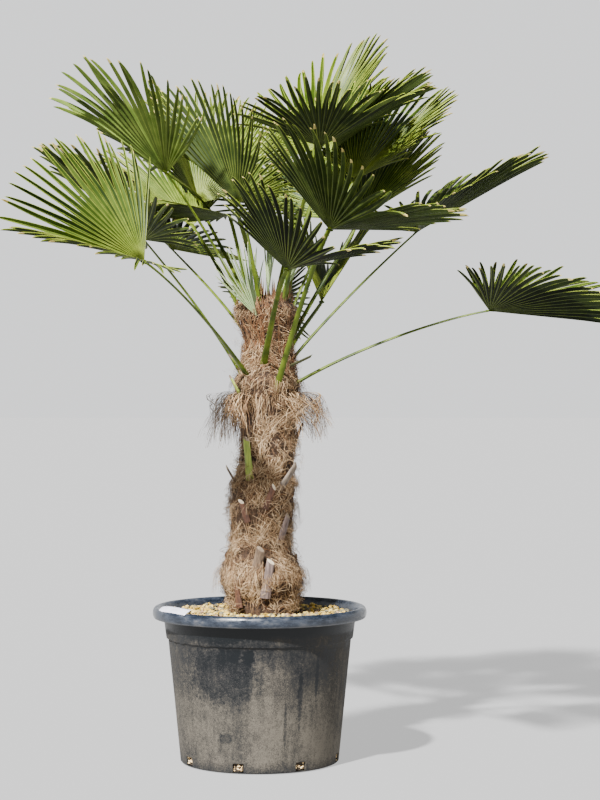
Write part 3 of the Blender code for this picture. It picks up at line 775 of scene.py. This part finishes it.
def make_tag():
    """A blank white tag that lies along the rim's crest, its outer edge drooping over the rim."""
    dark, light = (0.50, 0.50, 0.57), (0.66, 0.66, 0.74)
    plastic = mottled("tag_plastic", dark, light, 40.0, 0.35, bump=0.1, depth=0.0003)
    left, right = [outward(azimuth) * radius + UP * (POT_HEIGHT + 0.0042) for azimuth, radius in TAG_ENDS]
    near = (right - left).cross(UP).normalized()
    side = near * math.cos(TAG_TILT) - UP * math.sin(TAG_TILT)
    points, faces = [], []
    steps, across = 12, 6
    for n in range(steps + 1):
        t = n / steps
        width = TAG_WIDTH * (1 if t > 0.16 else 0.62 + 0.38 * t / 0.16)
        for m in range(across + 1):
            u = m / across - 0.5
            droop = 0.0016 * max(0.0, u * 2) ** 2
            lift = 0.0008 * math.sin(math.pi * t)
            points.append(left.lerp(right, t) + side * width * u + UP * (lift - droop))
    for n in range(steps):
        for m in range(across):
            a = n * (across + 1) + m
            faces.append((a, a + 1, a + across + 2, a + across + 1))
    tag = make_piece("tag_blank", points, faces, [plastic], ["tag"], smooth=40)
    thick = tag.modifiers.new("thickness", "SOLIDIFY")
    thick.thickness = 0.0007


# Trunk


def trunk_at(height):
    radius = along_table([(z, r) for z, r, _ in TRUNK_RINGS], height)
    centre = along_table([(z, x) for z, _, x in TRUNK_RINGS], height)
    return radius, centre


def trunk_skin(azimuth, height, lift=0.0):
    """A point on the trunk's surface, or lifted off it."""
    radius, centre = trunk_at(height)
    angle = math.radians(azimuth)
    bulge = 1 + TRUNK_LOBES * math.sin(3 * angle + 40 * height) * math.sin(5 * angle - 23 * height)
    return Vector((centre, 0, height)) + outward(azimuth) * (radius * bulge + lift)


def make_trunk_core():
    """The matted body of the trunk, lumpy under its fibre, painted dark as the shade deep inside the fibre.
    """
    # Painted shade: near black browns for the core, which shows only in the gaps between strands.
    dark, light = (0.010, 0.004, 0.001), (0.062, 0.030, 0.011)
    bark = mottled("trunk_core_painted_shade", dark, light, 130.0, 0.95, bump=1.0, depth=0.004)
    sides, rows = 150, 300
    points = []
    foot = TRUNK_RINGS[0][0]
    low = foot - 0.006
    for row in range(rows + 1):
        height = low + (TRUNK_TOP - low) * row / rows
        for k in range(sides):
            azimuth = 360 * k / sides
            place = trunk_skin(azimuth, max(height, foot))
            place.z = height
            lump = 0.0035 * noise.noise(place * 55) + 0.0020 * noise.noise(place * 150)
            points.append(place + outward(azimuth) * (lump - 0.0025))
    faces = tube_faces(rows, sides) + [last_ring(rows, sides)]
    make_piece("trunk_core", points, faces, [bark], ["trunk"], smooth=60)


def fibre_materials():
    return {
        # Near black strands that stand for the shade deep in the mat: painted shade.
        "dark": mottled("fibre_painted_shade", (0.012, 0.005, 0.001), (0.044, 0.020, 0.007), 150.0, 0.9),
        "brown": mottled("fibre_brown", (0.050, 0.023, 0.008), (0.150, 0.076, 0.030), 150.0, 0.9),
        "rust": mottled("fibre_rust", (0.072, 0.022, 0.005), (0.200, 0.082, 0.024), 150.0, 0.9),
        "tan": mottled("fibre_tan", (0.150, 0.080, 0.032), (0.310, 0.190, 0.088), 150.0, 0.85),
        "pale": mottled("fibre_pale", (0.290, 0.185, 0.092), (0.500, 0.360, 0.210), 150.0, 0.8),
    }


def wander_on_trunk(rng, start, height, slant, length, lift, steps):
    """A curly strand that keeps near the trunk's surface: its points and a flat direction at each."""
    points, sides = [], []
    azimuth = start
    curl = rng.gauss(0, 1.6)
    for n in range(steps):
        t = n / (steps - 1)
        z = min(max(height, MIX_TOP + 0.002), TRUNK_TOP - 0.003)
        radius, _ = trunk_at(z)
        rise = lift * math.sin(math.pi * t) + 0.0006
        points.append(trunk_skin(azimuth, z, rise))
        heading = Vector((-math.sin(math.radians(azimuth)), math.cos(math.radians(azimuth)), 0))
        flat = heading * math.cos(slant) - UP * math.sin(slant)
        sides.append((flat + outward(azimuth) * rng.uniform(-0.4, 0.4)).normalized())
        step = length / (steps - 1)
        azimuth += math.degrees(step * math.sin(slant) / radius)
        height += step * math.cos(slant)
        slant += curl * step / 0.05 + rng.gauss(0, 0.12)
    return points, sides


def on_stub(azimuth, height, rng):
    """Whether a strand that starts here is left out, so that it doesn't hide a cut leaf base."""
    for stub_azimuth, foot, length, width, _, sweep, _, _ in STUBS:
        if not foot - 0.012 < height < foot + length:
            continue
        radius, _ = trunk_at(height)
        drift = math.degrees((height - foot) * math.tan(math.radians(sweep)) / radius)
        turn = turn_from(azimuth - stub_azimuth - drift)
        if abs(math.radians(turn)) * radius < width / 2 + 0.001:
            return rng.random() < (0.80 if height > foot + 0.4 * length else 0.35)
    return False


def mat_cover(azimuth, height):
    """How thickly the fibre lies at a place on the trunk: below 0 in hollows, above 0 in raised tufts."""
    place = outward(azimuth) * 2.4 + UP * height * 20
    cover = noise.noise(place) + 0.6 * noise.noise(place * 2.6)
    for hollow_azimuth, hollow_height, size in HOLLOWS:
        turn = turn_from(azimuth - hollow_azimuth)
        off = math.hypot(math.radians(turn) * 0.075, height - hollow_height) / size
        cover -= 1.6 * math.exp(-off * off)
    return cover


def make_fibre_mat(fibres):
    """Thousands of crossing strands over the trunk, in five browns, thick in tufts and thin over hollows,
    with lighter browns painted on the tufts and near black painted in the hollows as light and shade.
    """
    rng = random.Random(3)
    steps = 7
    strands = Strands(fibres)
    low, high = MIX_TOP + 0.004, TRUNK_TOP - 0.006
    placed = 0
    while placed < MAT_STRANDS:
        azimuth, height = rng.uniform(0, 360), rng.uniform(low, high)
        cover = mat_cover(azimuth, height)
        if rng.random() > 0.40 + 1.6 * cover or on_stub(azimuth, height, rng):
            continue
        placed += 1
        slant = rng.choice((-1, 1)) * math.radians(rng.gauss(34, 24))
        length = rng.uniform(0.012, 0.050)
        # Painted light and shade: strands on raised tufts get lighter browns and strands in hollows darker
        # ones, on top of a random spread.
        tone = 1.3 * cover + rng.gauss(0, 0.50) - 0.08
        tone -= 0.95 * max(0.0, (height - RUST_FROM) / 0.25)
        # Strands with the lowest tone are the near black "dark" ones, painted shade that also lies lowest in
        # the mat.
        if tone < -0.40:
            name = "dark"
        elif tone < 0.0:
            name = "rust" if rng.random() < 0.18 + 3.0 * max(0.0, height - RUST_FROM) else "brown"
        else:
            name = "tan" if tone < 0.55 else "pale"
        lift = min(rng.expovariate(1 / 0.0030), 0.012) * (0.25 if name == "dark" else 1.0)
        lift *= max(0.2, 1 + 1.5 * cover)
        points, flats = wander_on_trunk(rng, azimuth, height, slant, length, lift, steps)
        width = rng.uniform(0.0005, 0.0013)
        swelling = [math.sin(math.pi * (n + 0.6) / (steps + 0.2)) for n in range(steps)]
        strands.add(name, points, flats, [width * (0.3 + 0.7 * s) for s in swelling])
    strands.make("trunk_fibre", fibres)


def hanging_strand(rng, azimuth, top, out_reach, drop, steps, sway, hook):
    """A strand that leaves the trunk, bows over and hangs: points and flat directions."""
    out = outward(azimuth)
    tangent = Vector((-out.y, out.x, 0))
    skin = trunk_skin(azimuth, top, 0.001)
    points, sides = [], []
    for n in range(steps):
        t = n / (steps - 1)
        reach = out_reach * math.sin(min(t / 0.75, 1.0) * math.pi / 2)
        fall = drop * (t**2.1 - 0.10 * math.sin(math.pi * min(t / 0.6, 1.0)))
        wave = sway * t * t + hook * math.sin(math.pi * t * 1.5)
        jitter = Vector((rng.gauss(0, 1), rng.gauss(0, 1), rng.gauss(0, 1))) * 0.0007 * t
        points.append(skin + out * (reach + abs(hook) * 0.6 * t * t) + tangent * wave - UP * fall + jitter)
        sides.append((tangent + out * rng.uniform(-0.5, 0.5) + UP * rng.uniform(-0.2, 0.2)).normalized())
    return points, sides


def make_tufts(fibres):
    """Frayed fringes where the old leaf sheaths end, and loose tufts: they stand off the trunk."""
    rng = random.Random(8)
    steps = 7
    strands = Strands(("brown", "tan", "pale"))
    for top, out_reach, drop, count in FRINGES:
        for _ in range(count):
            azimuth = rng.uniform(0, 360)
            patchy = 0.7 + 1.1 * noise.noise(outward(azimuth) * 2.8 + UP * top * 9)
            if on_stub(azimuth, top - 0.006, rng) or patchy < 0.25:
                continue
            size = patchy * rng.uniform(0.5, 1.2)
            height = top + rng.gauss(0, 0.006)
            sway, hook = rng.gauss(0, 0.005), rng.gauss(0, 0.004)
            strand = hanging_strand(rng, azimuth, height, out_reach * size, drop * size, steps, sway, hook)
            name = rng.choices(("brown", "tan", "pale"), (3, 5, 3))[0]
            strands.add(name, *strand, thinning(rng.uniform(0.0006, 0.0014), steps, 0.7))
    for _ in range(110):
        middle, foot = rng.uniform(0, 360), rng.uniform(0.44, 1.06)
        reach, drop = rng.uniform(0.010, 0.034), rng.uniform(-0.024, 0.040)
        sway, hook = rng.gauss(0, 0.014), rng.gauss(0, 0.010)
        for _ in range(9):
            azimuth, top = middle + rng.gauss(0, 3), foot + rng.gauss(0, 0.004)
            out_reach = reach * rng.uniform(0.5, 1.0)
            own_sway, own_hook = sway + rng.gauss(0, 0.006), hook + rng.gauss(0, 0.006)
            strand = hanging_strand(rng, azimuth, top, out_reach, drop, steps, own_sway, own_hook)
            name = rng.choice(("brown", "tan", "pale"))
            strands.add(name, *strand, thinning(rng.uniform(0.0007, 0.0015), steps, 0.7))
    strands.make("trunk_tufts", fibres)


def make_crown_fibre(fibres):
    """Torn leaf sheaths that stand up from the upper trunk and its tip, between the feet of the stalks."""
    rng = random.Random(14)
    steps, on_trunk, at_top = 6, 150, 80
    bend, highest = 1.128, 1.240
    strands = Strands(("brown", "rust", "tan"))
    for cluster in range(on_trunk + at_top):
        at_tip = cluster >= on_trunk
        middle, foot = rng.uniform(0, 360), rng.uniform(1.12, 1.156) if at_tip else rng.uniform(0.955, 1.13)
        reach, lean = rng.uniform(0.030, 0.085), rng.gauss(0, 9)
        draw_in = rng.uniform(0.05, 1.0) if at_tip else 1.0
        for _ in range(9):
            off = rng.uniform(-1, 1)
            azimuth = middle + off * 6
            length = reach * (1 - 0.55 * abs(off)) * rng.uniform(0.7, 1.0)
            flat = Vector((-math.sin(math.radians(azimuth)), math.cos(math.radians(azimuth)), 0))
            points, flats = [], []
            for n in range(steps):
                t = n / (steps - 1)
                height = min(foot + length * t, highest)
                place = trunk_skin(azimuth + (lean - off * 5) * t, min(height, bend), 0.001 + 0.009 * t)
                centre = Vector((0.017, 0, place.z))
                place = centre + (place - centre) * draw_in * (1 - 3.4 * max(0.0, height - bend))
                points.append((place.x, place.y, height))
                flats.append((flat + outward(azimuth) * rng.uniform(-0.5, 0.5)).normalized())
            name = rng.choices(("brown", "rust", "tan"), (4, 6, 2))[0]
            strands.add(name, points, flats, thinning(rng.uniform(0.0012, 0.0034), steps, 0.85))
    strands.make("crown_fibre", fibres)


def make_skirts(fibres):
    """Long loose fibre that bows out from the trunk and hangs in curly clumps."""
    rng = random.Random(21)
    steps = 14
    for node, (start, end, out_reach, drop) in SKIRTS.items():
        strands = Strands(("brown", "tan", "pale"))
        for azimuth in range(start, end + 1, 9):
            for _ in range(3):
                clump = rng.uniform(0.45, 1.0)
                clump_sway, clump_hook = rng.gauss(0, 0.020), rng.gauss(0, 0.022)
                clump_drop = rng.uniform(0.35, 0.98)
                clump_turn = azimuth + rng.gauss(0, 5)
                for _ in range(8):
                    size = clump * rng.uniform(0.75, 1.0)
                    turn, top = clump_turn + rng.gauss(0, 3.0), SKIRT_TOP + rng.uniform(-0.014, 0.018)
                    fall = drop * clump_drop * rng.uniform(0.8, 1.0)
                    sway, hook = clump_sway + rng.gauss(0, 0.005), clump_hook + rng.gauss(0, 0.005)
                    strand = hanging_strand(rng, turn, top, out_reach * size, fall, steps, sway, hook)
                    name = rng.choices(("brown", "tan", "pale"), (4, 5, 3))[0]
                    strands.add(name, *strand, thinning(rng.uniform(0.0014, 0.0032), steps, 0.6))
        strands.make(node, fibres, {"tan": [node]})


def make_stub_piece(number, row, looks, cuts):
    """A cut leaf base: a strap with a rounded face, hollow behind, and a slanting cut."""
    azimuth, foot, length, width, lean, sweep, look, cut = row
    out = outward(azimuth)
    side = Vector((-out.y, out.x, 0))
    tilt, turn = math.radians(lean), math.radians(sweep)
    upright = UP * math.cos(tilt) + out * math.sin(tilt)
    rise = upright * math.cos(turn) + side * math.sin(turn)
    side = side * math.cos(turn) - upright * math.sin(turn)
    face = out * math.cos(tilt) - UP * math.sin(tilt)
    _, centre = trunk_at(foot)
    radius = max(trunk_at(foot)[0], trunk_at(foot + length / 2)[0])
    root = Vector((centre, 0, foot)) + out * (radius - 0.001) - rise * STUB_ROOT
    rows, columns = 12, 12
    points = []
    for n in range(rows + 1):
        t = n / rows
        middle = root + rise * (length + STUB_ROOT) * t
        half = width * (0.60 + (0.44 - 0.60) * t) * (1 + 0.04 * math.sin(9 * t + number))
        thick = 0.0044 * (1 - 0.2 * t)
        for angle in spin(columns):
            x, y = math.cos(angle), math.sin(angle)
            slant = (0.005 * x + 0.004 * y) * t**8
            ridge = 1 + 0.10 * math.cos(9 * angle + number)
            depth = y * thick * ridge if y > 0 else y * thick * 0.45
            points.append(middle + side * half * x + face * depth - rise * slant)
    faces = tube_faces(rows, columns) + [last_ring(rows, columns)]
    kinds = [0] * (rows * columns) + [1]
    materials = [looks[look], cuts[cut]]
    make_piece(f"leaf_base_{number}", points, faces, materials, (), kinds, 50)


def make_stubs():
    """Old leaf bases: weathered skin, each with lengthwise streaks, and a pale or weathered cut."""
    skins = {
        "mauve": ((0.040, 0.026, 0.022), (0.200, 0.138, 0.115), 0.7),
        "tan": ((0.040, 0.024, 0.013), (0.180, 0.118, 0.070), 0.7),
        "red": ((0.030, 0.011, 0.005), (0.120, 0.046, 0.020), 0.7),
        "grey": ((0.045, 0.032, 0.022), (0.210, 0.160, 0.115), 0.7),
        "green": ((0.085, 0.130, 0.006), (0.290, 0.350, 0.030), 0.5),
        "olive": ((0.030, 0.036, 0.012), (0.090, 0.095, 0.035), 0.6),
    }
    looks = {
        name: mottled(f"base_{name}", dark, light, 34.0, rough, (6, 6, 0.6), bump=0.6, depth=0.001)
        for name, (dark, light, rough) in skins.items()
    }
    cuts = {
        "pale": mottled("cut_pale", (0.36, 0.27, 0.17), (0.62, 0.53, 0.38), 90.0, 0.8),
        "brown": mottled("cut_brown", (0.10, 0.07, 0.045), (0.28, 0.21, 0.14), 90.0, 0.85),
        "olive": mottled("cut_olive", (0.030, 0.036, 0.012), (0.090, 0.095, 0.035), 90.0, 0.7),
    }
    for number, row in enumerate(STUBS):
        make_stub_piece(number, row, looks, cuts)


# Leaves


def leaf_axes(turn, rise, roll):
    """A blade's own axes: along its midrib, across it, and up from its upper face."""
    f, e, r = math.radians(turn), math.radians(rise), math.radians(roll)
    along = Vector((math.cos(e) * math.cos(f), math.cos(e) * math.sin(f), math.sin(e)))
    flat_up = Vector((-math.sin(e) * math.cos(f), -math.sin(e) * math.sin(f), math.cos(e)))
    flat_side = Vector((-math.sin(f), math.cos(f), 0))
    up = flat_up * math.cos(r) + flat_side * math.sin(r)
    across = flat_side * math.cos(r) - flat_up * math.sin(r)
    return along, across, up


def ray(axes, angle, fold):
    """Direction of a leaflet at an angle from the midrib, with both halves of the fan folded up."""
    along, across, up = axes
    lift = abs(math.sin(angle)) * math.sin(fold)
    return (along * math.cos(angle) + across * math.sin(angle) * math.cos(fold) + up * lift).normalized()


def local_frame(axes, angle, fold):
    """A leaflet's direction, the direction across it, and its own up."""
    heading = ray(axes, angle, fold)
    step = 0.01
    across = (ray(axes, angle + step, fold) - ray(axes, angle - step, fold)).normalized()
    return heading, across, across.cross(heading).normalized() * -1


def make_fan(name, place, palette, nodes, count=LEAFLETS, joined=LEAF_JOINED, swell=0.0):
    """A fan of V-folded leaflets, joined edge to edge near the hub and free towards their tips.

    place holds the hub, the midrib's turn and rise, the roll, the reach, half the spread and the fold.
    """
    hub, midrib, roll, reach, spread, fold = place
    rng = random.Random(name)
    axes = leaf_axes(*midrib, roll)
    half, fold = math.radians(spread), math.radians(fold)
    hub = Vector(hub)
    step = 2 * half / count

    def joined_share(angle):
        return joined * (1 - 0.25 * (angle / half) ** 2)

    def full_length(angle):
        return reach * (1 - LEAF_TAPER * (angle / half) ** 2)

    notches = []
    for k in range(count + 1):
        angle = -half + k * step
        heading, _, up = local_frame(axes, angle, fold)
        place = full_length(angle) * joined_share(angle) * rng.uniform(0.90, 1.06)
        notches.append((heading, up, place))

    points, uvs, faces, kinds = [], [], [], []
    columns = 6
    for k in range(count):
        angle = -half + (k + 0.5) * step
        heading, across, up = local_frame(axes, angle, fold)
        length = full_length(angle) * rng.uniform(0.955, 1.0)
        first_notch = min(notches[k][2], notches[k + 1][2])
        bend, sway = rng.gauss(0.014, 0.022) * reach, rng.gauss(0, 0.016) * reach
        steepen = rng.uniform(0.9, 1.7)
        rows = [LEAF_START + (first_notch - LEAF_START) * n / JOINED_ROWS for n in range(JOINED_ROWS)]
        rows += [
            first_notch + (length - first_notch) * (1 - (1 - n / FREE_ROWS) ** 1.5)
            for n in range(FREE_ROWS + 1)
        ]
        start = len(points)
        shade = rng.choices((0, 1, 2), (5, 3, 4))[0]
        dry = rng.random() < 0.75
        for r in rows:
            free = max(0.0, (r - first_notch) / (length - first_notch))
            spread_half = r * math.tan(step / 2)
            middle = hub + heading * r - up * bend * free**2 + across * sway * free**2
            middle -= up * spread_half * LEAFLET_SLOPE / 2
            edges = []
            for sign, (edge_heading, edge_up, notch) in ((-1, notches[k]), (1, notches[k + 1])):
                if r <= notch:
                    edges.append(hub + edge_heading * r + edge_up * spread_half * LEAFLET_SLOPE / 2)
                    continue
                s = (r - notch) / (length - notch)
                wide = notch * math.tan(step / 2) * (1 - 0.30 * s) * math.sqrt(max(0.0, 1 - s**7)) + 0.0003
                wide += swell * math.sin(math.pi * min(1.0, s)) ** 0.6
                stand = LEAFLET_SLOPE * (1 + (steepen - 1) * min(1.0, 3 * s) + 0.6 * s)
                norm = math.hypot(1, stand) / math.hypot(1, LEAFLET_SLOPE)
                edges.append(middle + (across * sign * wide + up * wide * stand) / norm)
            width = (edges[1] - edges[0]).length
            rib = min(RIB_WIDTH / 2, width * 0.12)
            trim = min(0.35, EDGE_WIDTH / max(width, 1e-5))
            left_rib, right_rib = middle - across * rib, middle + across * rib
            row_points = (
                edges[0],
                edges[0].lerp(left_rib, trim),
                left_rib,
                right_rib,
                edges[1].lerp(right_rib, trim),
                edges[1],
            )
            points.extend(row_points)
            uvs.extend(((k + 0.5) * 0.03 + (p - middle).dot(across), r) for p in row_points)
        tip_rows = rng.choice((1, 1, 2)) if dry else 0
        for n in range(len(rows) - 1):
            for c in range(columns - 1):
                a = start + n * columns + c
                faces.append((a, a + columns, a + columns + 1, a + 1))
                if n >= len(rows) - 1 - tip_rows:
                    kinds.append(5)
                else:
                    kinds.append((4, shade, 3, shade, 4)[c])
    fan = make_piece(name, points, faces, palette, nodes, face_slots=kinds, smooth=24)
    layer = fan.data.uv_layers.new(name="UVMap")
    loop_vertices = np.empty(len(fan.data.loops), np.int32)
    fan.data.loops.foreach_get("vertex_index", loop_vertices)
    layer.data.foreach_set("uv", np.asarray(uvs, np.float32)[loop_vertices].ravel())
    thick = fan.modifiers.new("thickness", "SOLIDIFY")
    thick.thickness = LEAF_THICKNESS
    thick.offset = 0
    thick.material_offset = len(palette) // 2
    return fan


def stalk_curve(foot, arch, hub, midrib, roll):
    """The stalk's curve, the same as the solid's: a function of t from 0 at the foot to 1 at the hub."""
    azimuth, height = foot
    along, across, _ = leaf_axes(*midrib, roll)
    radius, centre = trunk_at(height)
    out = outward(azimuth)
    hub = Vector(hub)
    start = Vector((centre, 0, height)) + out * radius
    chord = hub - start
    length = chord.length
    lift = UP * arch * length
    leave = (chord.normalized() + UP * 0.12).normalized()
    start -= out * 0.022
    control_a = start + leave * length * 0.33 + lift
    arrive = (chord.normalized() * 0.65 + along * 0.35).normalized()
    control_b = hub - arrive * length * 0.22 + lift * 0.5
    side = Vector((-out.y, out.x, 0))
    if side.dot(across) < 0:
        side = -side

    def at(t):
        s = 1 - t
        place = start * s**3 + control_a * 3 * s * s * t + control_b * 3 * s * t * t + hub * t**3
        heading = (control_a - start) * s * s + (control_b - control_a) * 2 * s * t
        heading += (hub - control_b) * t * t
        heading = along if t > 0.999 else heading.normalized()
        turned = side * s + across * t
        turned = (turned - heading * turned.dot(heading)).normalized()
        return place, heading, turned, turned.cross(heading)

    return at


def make_stalk(name, foot, arch, hub, midrib, roll, green, node):
    """A leaf stalk, flat above and round below, with fine teeth along both edges."""
    rng = random.Random(name)
    at = stalk_curve(foot, arch, hub, midrib, roll)
    points = []
    for n in range(STALK_RINGS + 1):
        t = n / STALK_RINGS
        place, _, side, up = at(t)
        half_width = along_table(STALK_HALF_WIDTHS, t)
        half_height = along_table(STALK_HALF_HEIGHTS, t)
        for angle in spin(STALK_SIDES):
            x, y = math.cos(angle), math.sin(angle)
            depth = y * 0.45 if y > 0 else y
            points.append(place + side * half_width * x + up * half_height * depth)
    faces = tube_faces(STALK_RINGS, STALK_SIDES)
    faces += [last_ring(0, STALK_SIDES), last_ring(STALK_RINGS, STALK_SIDES)[::-1]]
    teeth = 30
    for n in range(teeth):
        for sign in (-1, 1):
            t = 0.16 + 0.80 * (n + rng.uniform(0, 0.8)) / teeth
            place, heading, side, up = at(t)
            edge = place + side * sign * along_table(STALK_HALF_WIDTHS, t) * 0.97
            a = len(points)
            points += [
                edge - heading * 0.0018,
                edge + heading * 0.0018,
                edge + up * 0.0011,
                edge + side * sign * 0.0018 + heading * 0.0008,
            ]
            faces += [(a, a + 1, a + 3), (a + 1, a + 2, a + 3), (a + 2, a, a + 3)]
    make_piece(f"{name}_fine", points, faces, [green], [node], smooth=50)


def make_hub_crest(name, hub, midrib, roll, green):
    """The small crest where the stalk ends on the blade's upper face."""
    along, across, up = leaf_axes(*midrib, roll)
    hub = Vector(hub)
    points, faces = [hub + along * 0.010 + up * 0.0022], []
    sides = 10
    for wide, high in ((0.0055, 0.0025), (0.0085, -0.0004)):
        for angle in spin(sides):
            reach = along * (math.cos(angle) * wide * 1.5) + across * (math.sin(angle) * wide)
            points.append(hub + reach + up * high)
    for k in range(sides):
        n = (k + 1) % sides
        faces.append((0, 1 + k, 1 + n))
        faces.append((1 + k, 1 + sides + k, 1 + sides + n, 1 + n))
    make_piece(f"{name}_crest", points, faces, [green], smooth=50)


def make_leaves():
    palette = leaf_palette()
    stalk_green = leaf_material("stalk_green", (0.018, 0.036, 0.001), (0.110, 0.150, 0.009), 0.5, 0.2)
    for name, (foot, arch, hub, midrib, roll, reach, spread, fold, tint) in LEAVES.items():
        blade, stalk = f"blade_{name}", f"stalk_{name}"
        place = (hub, midrib, roll, reach, spread, fold)
        make_fan(f"{blade}_fine", place, palette[tint], [blade])
        make_stalk(stalk, foot, arch, hub, midrib, roll, stalk_green, stalk)
        make_hub_crest(blade, hub, midrib, roll, stalk_green)
    young = [
        leaf_material("young_pale", (0.12, 0.19, 0.06), (0.28, 0.37, 0.15)),
        leaf_material("young_grey", (0.09, 0.15, 0.05), (0.21, 0.29, 0.12)),
        leaf_material("young_mid", (0.04, 0.09, 0.02), (0.13, 0.20, 0.06)),
        leaf_material("young_rib", (0.30, 0.38, 0.18), (0.46, 0.52, 0.28)),
        leaf_material("young_edge", (0.34, 0.42, 0.20), (0.52, 0.58, 0.32)),
        leaf_material("young_tip", (0.38, 0.34, 0.17), (0.55, 0.48, 0.27)),
    ]
    for name, (*place, count) in YOUNG.items():
        make_fan(f"{name}_fine", place, young * 2, [name], count, YOUNG_JOINED, YOUNG_SWELL)


# Stage


def make_sky():
    """A dim even sky with a bright band at the horizon, which matches the floor."""
    world = bpy.data.worlds.new("studio")
    bpy.context.scene.world = world
    world.use_nodes = True
    background = world.node_tree.nodes["Background"]
    strength = map_range(world, height_socket(world, "Generated"), 0.24, 0.50, *SKY_STRENGTHS, "SMOOTHSTEP")
    world.node_tree.links.new(strength, background.inputs["Strength"])
    background.inputs["Color"].default_value = (0.98, 0.99, 1.0, 1)


def make_stage():
    floor = bpy.data.meshes.new("floor")
    corners = [(-FLOOR, -FLOOR, 0), (FLOOR, -FLOOR, 0), (FLOOR, FLOOR, 0), (-FLOOR, FLOOR, 0)]
    floor.from_pydata(corners, [], [(0, 1, 2, 3)])
    material = start_material("floor_pale", 1.0, 0.0)
    shader = shader_of(material)
    shader.inputs["Base Color"].default_value = (0.16, 0.16, 0.16, 1)
    shader.inputs["Emission Color"].default_value = (1.0, 1.0, 1.0, 1)
    shader.inputs["Emission Strength"].default_value = FLOOR_GLOW
    floor.materials.append(material)
    plane = bpy.data.objects.new("floor", floor)
    plane.location.z = -0.0005
    bpy.context.scene.collection.objects.link(plane)
    make_sky()
    target = Vector((0.05, 0, 1.0))
    for name, place, strength, angle in SUNS:
        light = bpy.data.lights.new(name, "SUN")
        light.angle = math.radians(angle)
        light.energy = strength
        lamp = bpy.data.objects.new(name, light)
        lamp.location = place
        lamp.rotation_euler = (target - Vector(place)).to_track_quat("-Z", "Y").to_euler()
        bpy.context.scene.collection.objects.link(lamp)


def make_camera():
    """Level, 4.95 m in front of the trunk's foot and 0.9 m up, with a vertical field of 22.8 degrees."""
    camera = bpy.data.cameras.new("camera")
    camera.sensor_width = 36
    camera.lens = 89.1
    camera.clip_end = 100
    item = bpy.data.objects.new("camera", camera)
    item.location = (0.1005, -4.95, 0.90)
    item.rotation_euler = (math.radians(90), 0, 0)
    bpy.context.scene.collection.objects.link(item)
    bpy.context.scene.camera = item


make_camera()
make_stage()
make_pot()
make_soil()
make_gravel()
make_drain_stones()
make_tag()
fibre = fibre_materials()
make_trunk_core()
make_fibre_mat(fibre)
make_tufts(fibre)
make_crown_fibre(fibre)
make_skirts(fibre)
make_stubs()
make_leaves()
